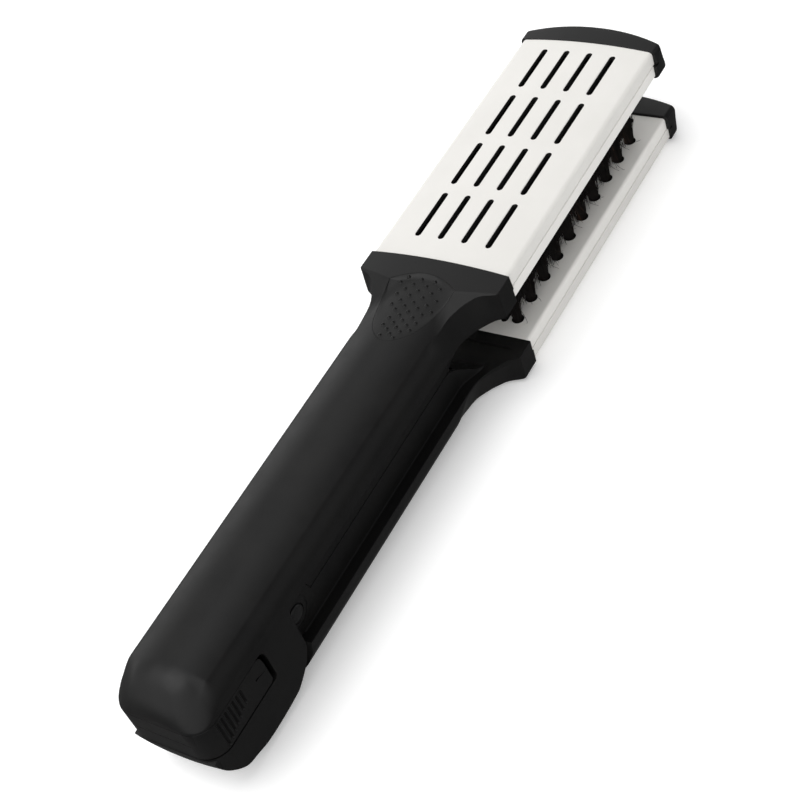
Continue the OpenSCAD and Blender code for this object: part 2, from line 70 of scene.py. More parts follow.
# ---------------------------------------------------------------- materials
def mat_new(name):
    mt = bpy.data.materials.new(name)
    mt.use_nodes = True
    nt = mt.node_tree
    nt.nodes.clear()
    out = nt.nodes.new("ShaderNodeOutputMaterial")
    b = nt.nodes.new("ShaderNodeBsdfPrincipled")
    nt.links.new(b.outputs[0], out.inputs[0])
    return mt, nt, b


def noise(nt, scale, detail=3.0, rough=0.5, coord="Object", stretch=None):
    tc = nt.nodes.new("ShaderNodeTexCoord")
    n = nt.nodes.new("ShaderNodeTexNoise")
    n.inputs["Scale"].default_value = scale
    n.inputs["Detail"].default_value = detail
    n.inputs["Roughness"].default_value = rough
    src = tc.outputs[coord]
    if stretch:
        mp = nt.nodes.new("ShaderNodeMapping")
        mp.inputs["Scale"].default_value = stretch
        nt.links.new(src, mp.inputs[0])
        src = mp.outputs[0]
    nt.links.new(src, n.inputs["Vector"])
    return n


def ramp(nt, src, lo, hi, pos=(0.3, 0.7)):
    r = nt.nodes.new("ShaderNodeValToRGB")
    r.color_ramp.elements[0].position = pos[0]
    r.color_ramp.elements[1].position = pos[1]
    r.color_ramp.elements[0].color = (*lo, 1)
    r.color_ramp.elements[1].color = (*hi, 1)
    nt.links.new(src, r.inputs[0])
    return r


def span(nt, src, a, b, lo=0.3, hi=0.7):
    r = nt.nodes.new("ShaderNodeMapRange")
    r.inputs["From Min"].default_value = lo
    r.inputs["From Max"].default_value = hi
    r.inputs["To Min"].default_value = a
    r.inputs["To Max"].default_value = b
    nt.links.new(src, r.inputs["Value"])
    return r


def bump(nt, b, src, strength, distance):
    bp = nt.nodes.new("ShaderNodeBump")
    bp.inputs["Strength"].default_value = strength
    bp.inputs["Distance"].default_value = distance
    nt.links.new(src, bp.inputs["Height"])
    nt.links.new(bp.outputs[0], b.inputs["Normal"])
    return bp


def plastic(name, lo, hi, rough, grain=2600.0, grain_depth=0.00002, grain_strength=0.3,
            cloud=60.0, spec=0.5):
    mt, nt, b = mat_new(name)
    c = noise(nt, cloud, 4.0, 0.6)
    cr = ramp(nt, c.outputs[0], lo, hi)
    nt.links.new(cr.outputs[0], b.inputs["Base Color"])
    g = noise(nt, grain, 2.0, 0.6)
    w = noise(nt, cloud * 2.3, 3.0, 0.6)
    rr = span(nt, w.outputs[0], rough[0], rough[1])
    nt.links.new(rr.outputs[0], b.inputs["Roughness"])
    bump(nt, b, g.outputs[0], grain_strength, grain_depth)
    b.inputs["Specular IOR Level"].default_value = spec
    return mt


M = {}
M["black"] = plastic("satin_black", (0.0050, 0.0050, 0.0052), (0.0072, 0.0070, 0.0068), (0.37, 0.45), spec=0.25)
M["white"] = plastic("warm_white", (0.762, 0.748, 0.716), (0.792, 0.778, 0.746), (0.32, 0.40),
                     grain=1500.0, grain_depth=0.00001, grain_strength=0.15)
# painted light: the inner plates get a lighter copy of the warm white, making up for light lost in the gap between the
# arms
M["white_in"] = plastic("warm_white_inner", (0.820, 0.806, 0.774), (0.846, 0.832, 0.800), (0.34, 0.42),
                        grain=1500.0, grain_depth=0.00001, grain_strength=0.15)
# painted shade: near-black rough material laid on the plates' vent and hole walls and inner faces, standing in for the
# shade inside them
M["inside"] = plastic("inside_black", (0.004, 0.004, 0.004), (0.006, 0.006, 0.006), (0.75, 0.85))
M["bed"] = plastic("bed_black", (0.004, 0.004, 0.004), (0.007, 0.0065, 0.006), (0.6, 0.75))
# painted shade: a darker copy of the grip black for the dots, standing in for the shade on their sides; it is also
# glossier
M["dot"] = plastic("grip_dot_black", (0.0030, 0.0030, 0.0031), (0.0042, 0.0041, 0.0040), (0.26, 0.34), spec=0.20)
M["pad"] = plastic("grip_black", (0.0055, 0.0055, 0.0056), (0.0075, 0.0074, 0.0072), (0.40, 0.50),
                   grain=1800.0, grain_depth=0.00003, spec=0.25)
M["nylon"] = plastic("nylon", (0.5, 0.5, 0.47), (0.56, 0.55, 0.52), (0.4, 0.5))
M["latch"] = plastic("dark_acetal", (0.02, 0.02, 0.022), (0.028, 0.028, 0.03), (0.4, 0.5))


def metal(name, col, rough, scale=900.0, stretch=(1, 1, 12)):
    mt, nt, b = mat_new(name)
    n = noise(nt, scale, 4.0, 0.6, stretch=stretch)
    c = ramp(nt, n.outputs[0], tuple(x * 0.88 for x in col), col)
    nt.links.new(c.outputs[0], b.inputs["Base Color"])
    r = span(nt, n.outputs[0], rough[0], rough[1])
    nt.links.new(r.outputs[0], b.inputs["Roughness"])
    b.inputs["Metallic"].default_value = 1.0
    bump(nt, b, n.outputs[0], 0.15, 0.00001)
    return mt


M["steel"] = metal("zinc_steel", (0.62, 0.62, 0.61), (0.22, 0.38))
M["pin"] = plastic("pin_black", (0.008, 0.008, 0.0082), (0.012, 0.012, 0.0122), (0.30, 0.38), spec=0.3)


# hair and nylon of the tufts
def hair_mat():
    mt, nt, b = mat_new("tuft_hair")
    at = nt.nodes.new("ShaderNodeAttribute")
    at.attribute_name = "tone"
    r = nt.nodes.new("ShaderNodeValToRGB")
    e = r.color_ramp.elements
    e[0].position, e[0].color = 0.0, (0.0035, 0.003, 0.003, 1)
    e[1].position, e[1].color = 1.0, (0.16, 0.08, 0.042, 1)
    k = r.color_ramp.elements.new(0.55)
    k.color = (0.009, 0.0055, 0.004, 1)
    k = r.color_ramp.elements.new(0.82)
    k.color = (0.045, 0.021, 0.012, 1)
    b.inputs["Specular IOR Level"].default_value = 0.14
    nt.links.new(at.outputs["Fac"], r.inputs[0])
    n = noise(nt, 1500.0, 2.0, 0.6, stretch=(1, 1, 0.15))
    mx = nt.nodes.new("ShaderNodeMix")
    mx.data_type = "RGBA"
    mx.blend_type = "MULTIPLY"
    mx.inputs["Factor"].default_value = 0.6
    nt.links.new(r.outputs[0], mx.inputs[6])
    nr = ramp(nt, n.outputs[0], (0.5, 0.5, 0.5), (1.3, 1.3, 1.3))
    nt.links.new(nr.outputs[0], mx.inputs[7])
    nt.links.new(mx.outputs[2], b.inputs["Base Color"])
    rr = span(nt, n.outputs[0], 0.45, 0.62)
    nt.links.new(rr.outputs[0], b.inputs["Roughness"])
    bump(nt, b, n.outputs[0], 0.2, 0.00003)
    return mt


M["hair"] = hair_mat()

NODE_MAT = {}
for arm in ("lower_", "upper_"):
    for n, k in (("outer_plate", "white"), ("inner_plate", "white"), ("bristle_bed", "bed"),
                 ("bristles", "hair"), ("tip_cap", "black"), ("handle_shell", "black"),
                 ("inner_cover", "black"), ("thumb_pad", "pad"), ("screws", "steel")):
        NODE_MAT[arm + n] = k
for n, k in (("tail_cover", "black"), ("hinge_pin", "pin"), ("hinge_washers", "nylon"),
             ("hinge_spring", "steel"), ("lock_slide", "black"), ("lock_latch", "latch"),
             ("lock_detent", "steel"), ("tail_screws", "steel")):
    NODE_MAT[n] = k
for n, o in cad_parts.items():
    o.data.materials.clear()
    o.data.materials.append(M[NODE_MAT[n]])


# ---------------------------------------------------------------- mesh helpers, all in mm
def sag(y, r):
    y = np.minimum(np.abs(y), r * 0.999)
    return r - np.sqrt(r * r - y * y)


def smooth01(t):
    t = np.clip(t, 0, 1)
    return t * t * (3 - 2 * t)


def lerp(a, b, t):
    return a + (b - a) * t


def bez(p0, p1, p2, p3, n, first=False):
    t = np.linspace(0, 1, n + 1)[(0 if first else 1):, None]
    p0, p1, p2, p3 = (np.array(p, float) for p in (p0, p1, p2, p3))
    return ((1 - t) ** 3 * p0 + 3 * (1 - t) ** 2 * t * p1 + 3 * (1 - t) * t * t * p2 + t ** 3 * p3)


def round_poly(pts, radii, n=6):
    """Closed outline with its corners rounded."""
    pts = np.array(pts, float)
    out = []
    k = len(pts)
    for i in range(k):
        r = radii[i] if isinstance(radii, (list, tuple)) else radii
        p, a, b = pts[i], pts[i - 1], pts[(i + 1) % k]
        if r <= 0:
            out.append(p)
            continue
        u, v = a - p, b - p
        lu, lv = np.linalg.norm(u), np.linalg.norm(v)
        u, v = u / lu, v / lv
        ang = math.acos(np.clip(u @ v, -1, 1))
        d = min(r / math.tan(ang / 2), lu * 0.49, lv * 0.49)
        s, e = p + u * d, p + v * d
        for t in np.linspace(0, 1, n + 1):
            out.append((1 - t) ** 2 * s + 2 * (1 - t) * t * p + t * t * e)
    return np.array(out)


def volume(V, F):
    V = np.asarray(V)
    s = 0.0
    for f in F:
        a = V[f[0]]
        for i in range(1, len(f) - 1):
            s += np.dot(a, np.cross(V[f[i]], V[f[i + 1]]))
    return s / 6


def finish_mesh(o, sharp=32.0):
    me = o.data
    me.polygons.foreach_set("use_smooth", [True] * len(me.polygons))
    me.update()
    me.set_sharp_from_angle(angle=math.radians(sharp))


def make(name, V, F, mat=None, upper=False, sharp=32.0):
    V = np.array(V, float)
    F = [list(map(int, f)) for f in F]
    if upper:
        V = V * np.array([1, 1, -1.0]) + np.array([0, 0, H])
    if volume(V, F) < 0:
        F = [f[::-1] for f in F]
    me = bpy.data.meshes.new(name)
    me.from_pydata((V * MM).tolist(), [], F)
    me.validate()
    o = bpy.data.objects.new(name, me)
    scene.collection.objects.link(o)
    if mat is not None:
        for x in (mat if isinstance(mat, (list, tuple)) else [mat]):
            me.materials.append(x)
    finish_mesh(o, sharp)
    return o


def loft(rings, caps=True, wrap=False):
    """Closed rings to a closed surface."""
    R = np.array(rings, float)
    n, k, _ = R.shape
    V = R.reshape(-1, 3)
    F = []
    for i in range(n if wrap else n - 1):
        a, b = i * k, ((i + 1) % n) * k
        for j in range(k):
            j2 = (j + 1) % k
            F.append([a + j, a + j2, b + j2, b + j])
    if caps and not wrap:
        F.append(list(range(k))[::-1])
        F.append([(n - 1) * k + j for j in range(k)])
    return V, F


def prism(poly, axis, lo, hi):
    """A 2-D outline drawn out along an axis: poly is (y,z), (x,z) or (x,y)."""
    P = np.array(poly, float)
    rings = []
    for c in (lo, hi):
        if axis == "x":
            rings.append(np.column_stack([np.full(len(P), c), P[:, 0], P[:, 1]]))
        elif axis == "y":
            rings.append(np.column_stack([P[:, 0], np.full(len(P), c), P[:, 1]]))
        else:
            rings.append(np.column_stack([P[:, 0], P[:, 1], np.full(len(P), c)]))
    return loft(rings)


def merge(*parts):
    V, F, k = [], [], 0
    for v, f in parts:
        V.append(np.asarray(v, float))
        F += [[i + k for i in q] for q in f]
        k += len(v)
    return np.concatenate(V), F


def boolean(o, cutter, op="DIFFERENCE", keep=False, self_hit=False):
    m = o.modifiers.new("b", "BOOLEAN")
    m.operation = op
    m.object = cutter
    m.solver = "EXACT"
    m.use_self = self_hit
    bpy.context.view_layer.update()
    dg = bpy.context.evaluated_depsgraph_get()
    me = bpy.data.meshes.new_from_object(o.evaluated_get(dg))
    o.modifiers.clear()
    old = o.data
    me.name = old.name + "_b"
    o.data = me
    if not keep:
        bpy.data.objects.remove(cutter)
    return o


def tidy(o, dist=0.002):
    bm = bmesh.new()
    bm.from_mesh(o.data)
    bmesh.ops.remove_doubles(bm, verts=bm.verts, dist=dist * MM)
    bmesh.ops.dissolve_degenerate(bm, edges=bm.edges, dist=dist * MM)
    rim = [e for e in bm.edges if e.is_boundary]
    if rim:
        bmesh.ops.holes_fill(bm, edges=rim, sides=0)
    bmesh.ops.triangulate(bm, faces=bm.faces[:])
    bm.verts.index_update()
    seen = {}
    for f in bm.faces:                                    # slivers folded onto themselves
        seen.setdefault(frozenset(v.index for v in f.verts), []).append(f)
    twin = [f for fs in seen.values() if len(fs) > 1 for f in fs]
    if twin:
        bmesh.ops.delete(bm, geom=twin, context="FACES")
    loose = [v for v in bm.verts if not v.link_faces]
    if loose:
        bmesh.ops.delete(bm, geom=loose, context="VERTS")
    bm.to_mesh(o.data)
    bm.free()
    return o


def paint(o, index, test):
    """Faces whose centre (mm) and normal pass the test get material index."""
    for p in o.data.polygons:
        c = p.center * 1000
        if test(c.x, c.y, c.z, p.normal):
            p.material_index = index


def piece(o, body, slot, *nodes):
    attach(o, body)
    if nodes:
        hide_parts(*nodes)
    return o


# ---------------------------------------------------------------- plates
def plate_ring(x):
    y = np.linspace(0, 22.6, 25)
    half = np.column_stack([y, PROUD + sag(y, 192)])
    e0 = half[-1]
    mslope = 22.6 / math.sqrt(192 ** 2 - 22.6 ** 2)
    edge = bez(e0, e0 + np.array([0.75, 0.75 * mslope]), (24, e0[1] + 0.55), (24, 3.05), 9)
    out = np.vstack([half, edge, [[24, 4.6], [24, 6.26]], bez((24, 6.26), (24, 6.38), (23.95, 6.47), (23.82, 6.47), 3)])
    inn = np.vstack([[[22.5, 6.47], [22.5, 3.4]], bez((22.5, 3.4), (22.5, 3.0), (22.3, 2.9), (21.9, 2.85), 3),
                     np.column_stack([np.linspace(21, 0, 14), PROUD + 1.5 + sag(np.linspace(21, 0, 14), 192)])])
    right = np.vstack([out, inn])                      # from the crown's centre round to the inner centre
    left = right[::-1][1:-1] * np.array([-1, 1])
    P = np.vstack([right, left])
    return np.column_stack([np.full(len(P), x), P])


def capsule(cx, cy, ln, w, off, n=8):
    r = w / 2 + off
    a = np.linspace(-90, 90, n + 1) * math.pi / 180
    h = (ln - w) / 2
    p = [(cx + h + r * math.cos(t), cy + r * math.sin(t)) for t in a]
    q = [(cx - h - r * math.cos(t), cy - r * math.sin(t)) for t in a]
    return np.array(p + q)


def slot_cutter(pitch, ln, w, mx, zs, cham, deep, out):
    """Vents. zs(y) is the face's depth; out is -1 where the face looks to lower depth."""
    parts = []
    for i in range(4):
        for j in (-1.5, -0.5, 0.5, 1.5):
            cx, cy = mx + (i - 1.5) * pitch, j * 8.4
            z = zs(cy)
            rings = []
            for zz, off in ((z + out * 1.2, 1.2 + cham), (z - out * cham, 0.0), (z - out * deep, 0.0)):
                P = capsule(cx, cy, ln, w, off)
                rings.append(np.column_stack([P, np.full(len(P), zz)]))
            parts.append(loft(rings))
    return merge(*parts)


def outer_plate(arm):
    U = arm == "upper"
    o = make(arm + "_outer_plate_v", *loft([plate_ring(24.56), plate_ring(129.7)]), [M["white"], M["inside"]], U)
    c = make("c", *slot_cutter(24.0, 19.8, 2.0, 79.0, lambda y: PROUD + sag(y, 192), 0.10, 4.0, -1), None, U)
    boolean(o, c)
    # painted shade: the vent walls and the plate's inner faces get the near-black second material, painted in for the
    # shade there
    def dark(x, y, z, n):
        d = H - z if U else z
        s = PROUD + float(sag(y, 192))
        inside = d > s + 1.3 and abs(y) < 22.55 and d < 6.45
        wall = abs(y) < 14 and 30 < x < 126 and d > s + 0.12 and abs(n.z) < 0.5
        return inside or wall
    paint(o, 1, dark)
    tidy(o)
    finish_mesh(o)
    return piece(o, arm + "_arm", "white_plate", arm + "_outer_plate")


def inner_ring(x):
    out = np.vstack([[[0, ARM], [12, ARM], [22.9, ARM]],
                     bez((22.9, ARM), (23.6, ARM), (24, 10.9), (24, 10.2), 7),
                     [[24, 8.4], [24, 6.94]], bez((24, 6.94), (24, 6.82), (23.95, 6.73), (23.82, 6.73), 3)])
    inn = np.array([[22.45, 6.73], [22.4, 5.2], [20.9, 5.2], [20.9, 9.6], [12, 9.6], [0, 9.6]])
    right = np.vstack([out, inn])
    left = right[::-1][1:-1] * np.array([-1, 1])
    P = np.vstack([right, left])
    return np.column_stack([np.full(len(P), x), P])


def tuft_xy(arm):
    rows = 10 if arm == "lower" else 9
    return [(73.9 + (i - (rows - 1) / 2) * 9.4, j * 8.4) for i in range(rows) for j in range(-2, 3)]


def inner_plate(arm):
    U = arm == "upper"
    o = make(arm + "_inner_plate_v", *loft([inner_ring(23.96), inner_ring(128.9)]), [M["white_in"], M["inside"]], U)
    a = np.linspace(0, 2 * math.pi, 25)[:-1]
    parts = []
    for cx, cy in tuft_xy(arm):
        rings = []
        for zz, r in ((ARM + 1, 2.0 + 1.12), (ARM - 0.12, 2.0), (8.0, 2.0)):
            rings.append(np.column_stack([cx + r * np.cos(a), cy + r * np.sin(a), np.full(24, zz)]))
        parts.append(loft(rings))
    c = make("c", *merge(*parts), None, U)
    boolean(o, c)
    c = make("c", *slot_cutter(25.4, 21.6, 2.2, 78.2, lambda y: ARM, 0.10, 4.0, 1), None, U)
    boolean(o, c)
    # painted shade: the tuft-hole and vent walls below the face, and the plate's back, get the near-black second
    # material, painted in for the shade there
    def dark(x, y, z, n):
        d = H - z if U else z
        return (d < ARM - 0.11 and abs(y) < 20.85 and abs(n.z) < 0.5) or (abs(y) < 22.5 and d < 9.7)
    paint(o, 1, dark)
    tidy(o)
    finish_mesh(o)
    return piece(o, arm + "_arm", "white_plate", arm + "_inner_plate")


# ---------------------------------------------------------------- tip caps
def tip_cap(arm):
    U = arm == "upper"
    ys = np.concatenate([np.linspace(0, 22.5, 19), [23.0, 23.4, 23.7, 24.0, 24.25, 24.5, 24.7, 24.84, 24.94, 25.0]])
    ys = np.concatenate([-ys[::-1][:-1], ys])
    rings = []
    for y in ys:
        a = abs(y)
        e = max(0.0, (a - 24.3) / 0.7)              # side corner
        xf = 139 - 3.6 * (a / 25) ** 2.2 - 0.35 * e * e
        top = float(sag(min(a, 24.0), 192)) + (1 - math.sqrt(max(0.0, 1 - min(1, max(0, a - 23.9) / 1.1) ** 2))) * 1.7
        bot = 11.95 - max(0.0, a - 23.8) * 0.55 - 0.15 * e * e
        r1 = 0.75
        p = [np.array([[129.78, top + 0.12], [129.9, top]])]
        p.append(np.array([[lerp(130.2, xf - 1.15 - r1, t), top] for t in (0, 0.35, 0.7)]))
        p.append(bez((xf - 1.15 - r1, top), (xf - 1.15 - r1 * 0.35, top), (xf - 1.08, top + r1 * 0.35), (xf - 1.0, top + r1 + 0.1), 7, True))
        p.append(np.array([[xf - 0.55, lerp(top, bot, 0.5)]]))
        p.append(bez((xf, bot - 1.3), (xf + 0.02, bot - 0.4), (xf - 0.25, bot), (xf - 0.95, bot), 7, True))
        p.append(np.array([[lerp(xf - 1.5, 129.9, 0.5), bot]]))
        p.append(bez((129.7, bot), (129.2, bot), (128.97, bot - 0.1), (128.97, bot - 0.5), 4, True))
        p.append(np.array([[128.97, 6.72], [129.78, 6.62]]))
        P = np.vstack(p)
        rings.append(np.column_stack([P[:, 0], np.full(len(P), y), P[:, 1]]))
    o = make(arm + "_tip_cap_v", *loft(rings), M["black"], U, 40)
    # notch in the side at the joint line
    n1 = make("c", *merge(prism([(127, 6.25), (131.0, 6.25), (131.0, 6.95), (127, 6.95)], "y", 24.55, 26),
                          prism([(127, 6.25), (131.0, 6.25), (131.0, 6.95), (127, 6.95)], "y", -26, -24.55)), None, U)
    boolean(o, n1)
    tidy(o)
    finish_mesh(o, 40)
    return piece(o, arm + "_arm", "black_shell", arm + "_tip_cap")


# ---------------------------------------------------------------- handle shells
WX = np.array([-200, -3, 1.6, 4.7, 7.2, 9.8, 12.5, 14.9, 16.6, 16.9, 30])
WY = np.array([16, 16, 16.12, 16.5, 17.4, 18.6, 20.4, 22.4, 24.85, 25, 25])


def pchip(x, X, Y):
    h = np.diff(X)
    d = np.diff(Y) / h
    m_ = np.zeros(len(X))
    for i in range(1, len(X) - 1):
        if d[i - 1] * d[i] > 0:
            w1, w2 = 2 * h[i] + h[i - 1], h[i] + 2 * h[i - 1]
            m_[i] = (w1 + w2) / (w1 / d[i - 1] + w2 / d[i])
    i = np.clip(np.searchsorted(X, x) - 1, 0, len(X) - 2)
    t = (x - X[i]) / h[i]
    return ((1 + 2 * t) * (1 - t) ** 2 * Y[i] + t * (1 - t) ** 2 * h[i] * m_[i]
            + t * t * (3 - 2 * t) * Y[i + 1] + t * t * (t - 1) * h[i] * m_[i + 1])


def half_w(x):
    if x < -131.8:
        return 8.8 + math.sqrt(max(0.0, 7.2 ** 2 - (-131.8 - x) ** 2))
    return float(pchip(np.array(float(x)), WX, WY))


def dome(y):
    h = sag(y, 29.7)
    return (h - 0.114 * (1 - np.exp(-h / 0.114))) * 0.985


def smin(a, b, k):
    h = np.clip(0.5 + 0.5 * (b - a) / k, 0, 1)
    return b * (1 - h) + a * h - k * h * (1 - h)


def ridge_x(a):
    return np.where(a < 11.5, 18.3 - 0.032 * a * a, 14.07 + (a - 11.5) * 0.235)


def top_depth(x, y):
    a = np.abs(y)
    d = dome(y)
    if x > -14:
        t = ridge_x(a) - x
        tp = 0.5 * (t + np.sqrt(t * t + 0.006))          # crisp, slightly rounded ridge
        face = sag(a, 192) + 0.185 * tp + 0.02 * np.minimum(tp, 1.0)
        d = smin(d, face, 0.9 * smooth01((18.9 - x) / 6)) if x < 18.9 else face
    if x < -126:
        q = min(1.0, (-126 - x) / 13)
        d = np.minimum(d, 3.4)
        s = np.clip((a - 5) / 11, 0, 1)
        q2 = np.minimum(1.0, q * q * (1 + 1.3 * s * s))
        t0 = 11 - 11 * np.sqrt(1 - q2)
        d = t0 + d * (1 - t0 / 11)
    return d


NT = 161


def shell_outer(x, bottom):
    """Outer skin's section, from the +Y rim over the back to the -Y rim."""
    w = half_w(x)
    k = lerp(lerp(1.0, 0.74, float(smooth01((x + 9) / 10))), 0.16, float(smooth01((x - 13.6) / 3.8)))
    h = float(smooth01((x + 9) / 9))                      # crisp top edge in the flare
    er = 3.6 * k
    yt = w - er
    wi = w - 0.2 * k                                      # the side leans in a little
    u = np.linspace(1, -1, NT)
    ys = yt * u
    yy = ys * (16 / w if x < -126 else 1.0)
    zt = top_depth(x, yy)
    q = min(1.0, (-126 - x) / 13) if x < -126 else 0.0
    de = zt[0]
    fall_ = lerp(1.0, 0.5, q * q)
    low = min(max(ARM, de + 5.8 * k * fall_ + 0.4), bottom - 0.4)
    if x < -126:
        low = 11.3
    dw = min(de + (5.8 * k + 0.25) * fall_, low - 0.15)
    dy = (yt - ys[1])
    m0 = np.clip((zt[0] - zt[1]) / max(dy, 1e-6), 0.05, 0.75)
    p0 = np.array([yt, de])
    foot = np.array([w - 0.03, min(de + 8.5, low - 0.15)])
    p1 = lerp(np.array([yt + er * 0.28, de + er * 0.28 * m0]), p0 + (foot - p0) * 0.30 + np.array([0.10 * k, 0]), h)
    p2 = lerp(np.array([wi, de + (dw - de) * 0.52]), p0 + (foot - p0) * 0.66 + np.array([0.12 * k, 0]), h)
    wi, dw = lerp(np.array([wi, dw]), foot, h)
    edge = bez(p0, p1, p2, (wi, dw), 13)
    z1 = np.linspace(dw, low, 4)[1:]
    z2 = np.linspace(low, bottom, 6)[1:]
    side = np.vstack([np.column_stack([lerp(wi, w, (z1 - dw) / (low - dw)), z1]), np.column_stack([np.full(5, w), z2])])
    R = np.vstack([edge, side])
    right_ = R[::-1]
    left_ = R * np.array([-1, 1])
    top = np.column_stack([ys, zt])
    return np.vstack([right_, top, left_])


def section(x, bottom, off=0.0, inset=0.0):
    """Closed solid section; off shrinks it for the hollow, which then runs out below."""
    P = shell_outer(x, bottom)
    if inset:
        w, z0 = half_w(x), P[:, 1].min()
        P = P.copy()
        P[:, 0] *= (w - inset) / w
        P[:, 1] += inset * (1 - (P[:, 1] - z0) / (bottom - z0))
    if off:
        w = half_w(x)
        z0 = P[:, 1].min()
        P = P.copy()
        P[:, 0] *= (w - off) / w
        P[:, 1] = np.where(P[:, 1] > z0, z0 + off + (P[:, 1] - z0) * (bottom + 6 - z0 - off) / (bottom - z0), z0 + off)
    return np.column_stack([np.full(len(P), x), P])


def shell_stations(x_end):
    xs = [24.42, 24.3] + list(np.arange(24.1, 15.0, -0.22)) + list(np.arange(15.0, -10.0, -0.3)) + list(np.arange(-10.0, -16, -0.8)) \
        + list(np.arange(-16, x_end, -3.0)) + [x_end]
    return [float(x) for x in xs]


PAD_A = np.array([0, 1.2, 2.6, 4.8, 7.2, 8.7, 10.2, 11.0, 11.6])
PAD_X = np.array([-9.95, -9.8, -9.1, -7.5, -4.5, -1.0, 5.0, 9.6, 13.9])


def pad_rear(a, g=0.0):
    return pchip(np.array(float(min(a + g, 11.6))), PAD_A, PAD_X) + g


def pad_outline(o=0.0):
    ys = np.linspace(-11.5 + o, 11.5 - o, 49)
    p = [(18.3 - o - 0.032 * y * y, y) for y in ys]
    q = [(float(pad_rear(abs(y), o)), y) for y in ys[::-1]]
    return np.array(p + q)


def pad_cutter(U):
    P = pad_outline(0.0)
    return make("c", *prism(P, "z", -3, 6), None, U)


def hollow(U, x_end):
    xs = [26.0] + [x for x in shell_stations(x_end)[4::3] if x > x_end + 1] + [x_end]
    return make("c", *loft([section(min(x, 24.46), ARM, 2.0) * np.array([0, 1, 1]) + np.array([x, 0, 0]) for x in xs]), None, U)


def lower_shell():
    xs = shell_stations(-101.0)
    o = make("lower_handle_shell_v", *loft([section(xs[0], ARM, 0, 0.13) + np.array([0.04, 0, 0])] + [section(x, ARM) for x in xs]), M["black"], False)
    boolean(o, hollow(False, -91.6))
    boolean(o, pad_cutter(False))
    # rear end, hollowed round the tail box
    arc = bez((-101.3, -1), (-101.0, 2.5), (-95.6, 4.5), (-94.7, 12.0), 24, True)
    poly = np.vstack([arc, [[-94.7, 16], [-112, 16], [-112, -1]]])
    boolean(o, make("c", *prism(poly, "y", -30, 30), None))
    boolean(o, make("c", *prism([(23.9, SEAM + 0.1), (28, SEAM + 0.1), (28, 14), (23.9, 14)], "y", -30, 30), None))
    tidy(o)
    finish_mesh(o)
    return piece(o, "lower_arm", "black_shell", "lower_handle_shell")


CHEEK = [(-95.6, ARM), (-96.2, 13), (-96.4, 20), (-96.5, 26.8), (-98.2, 30.4), (-100.3, 32.8), (-104.8, 35.7),
         (-107.4, 36.4), (-114, 36.9), (-122, 36.8), (-126.6, 35.8), (-131, 34.7), (-134.4, 32.2), (-136.8, 29.8),
         (-138.2, 26.5), (-138.85, 23.0)]


def spline(pts, per=6):
    """Smooth open curve through points (Catmull-Rom)."""
    P = np.array(pts, float)
    P = np.vstack([2 * P[0] - P[1], P, 2 * P[-1] - P[-2]])
    out = []
    for i in range(1, len(P) - 2):
        for t in np.linspace(0, 1, per, endpoint=False):
            a, b, c, d = P[i - 1], P[i], P[i + 1], P[i + 2]
            out.append(0.5 * (2 * b + (c - a) * t + (2 * a - 5 * b + 4 * c - d) * t * t + (-a + 3 * b - 3 * c + d) * t ** 3))
    out.append(P[-2])
    return np.array(out)


def tail_stations():
    a = np.linspace(0, 90, 27)[1:]
    return [-92.0, -100.0, -108.0, -116.0, -122.0, -126.0] + [-126 - 13 * math.sin(math.radians(t)) for t in a]


WIN = np.array([(-111.3, 11.1), (-110.35, 11.55), (-109.75, 12.6), (-109.42, 14.4), (-109.4, 22.3), (-109.62, 23.1),
                (-110.3, 23.55), (-160, 23.55), (-160, 11.1)])


def dome_end(ring, n=84):
    """Rays from the crest at x -126 out to the rounded end and down its wall."""
    half = ring[len(ring) // 2::-1]
    r = half[:, 0] / 16
    k = (NT - 1) // 2 + 13
    end = 11 * (1 - np.sqrt(1 - np.minimum(r, r[k]) ** 2))
    t = np.linspace(0, 1, 4)
    end[k:k + 4] = lerp(end[k], half[k + 3, 1], t)
    end[k + 4:] = half[k + 4:, 1]
    corner = 11 * r ** 2.64                               # rounder towards the corners
    corner[k:k + 4] = lerp(corner[k], half[k + 3, 1], t)
    corner[k + 4:] = half[k + 4:, 1]
    rays = []
    for i in range(1, n):
        th = math.pi * i / n
        s, c = math.cos(th), math.sin(th)
        a = abs(s)
        if 16 * c <= 5.8 * a:
            rho = 16 / a
        elif 13 * a <= 8.8 * c:
            rho = 13 / c
        else:
            q = 5.8 * c + 8.8 * a
            rho = q + math.sqrt(q * q - (5.8 ** 2 + 8.8 ** 2 - 7.2 ** 2))
        xx, yy = c * rho / 13, a * rho / 16
        w = xx * xx / (xx * xx + yy * yy)
        px, py = -126 - c * rho * r, s * rho * r
        z = lerp(lerp(half[:, 1], end, w), corner, 4 * w * (1 - w))
        near = np.array([float(top_depth(float(u), np.array(v))) for u, v in zip(px, py)])
        z = lerp(near, z, smooth01((r - 0.42) / 0.34))
        rays.append(np.column_stack([px, py, z]))
    return rays


def shell_solid():
    xs = shell_stations(-84.0)[:-1] + [-84.0] + [x for x in tail_stations() if x > -126.5]
    rings = [section(xs[0], 38.0, 0, 0.13) + np.array([0.04, 0, 0])] + [section(x, 38.0) for x in xs]
    V, F = loft(rings)
    F = F[:-1]                                            # open at x -126
    n, k = len(rings), len(rings[0])
    mid_, base = k // 2, (len(rings) - 1) * k
    rays = dome_end(rings[-1][:, 1:])
    J = len(rays[0])
    cols = [[base + mid_ - j for j in range(J)]]
    o2 = len(V)
    for i in range(len(rays)):
        cols.append([base + mid_] + [o2 + i * (J - 1) + j for j in range(J - 1)])
    cols.append([base + mid_ + j for j in range(J)])
    V = np.vstack([V] + [r_[1:] for r_ in rays])
    for a, b in zip(cols[:-1], cols[1:]):
        F.append([a[0], b[1], a[1]])
        for j in range(1, J - 1):
            F.append([b[j], b[j + 1], a[j + 1], a[j]])
    F.append([c[-1] for c in cols])
    return V, F


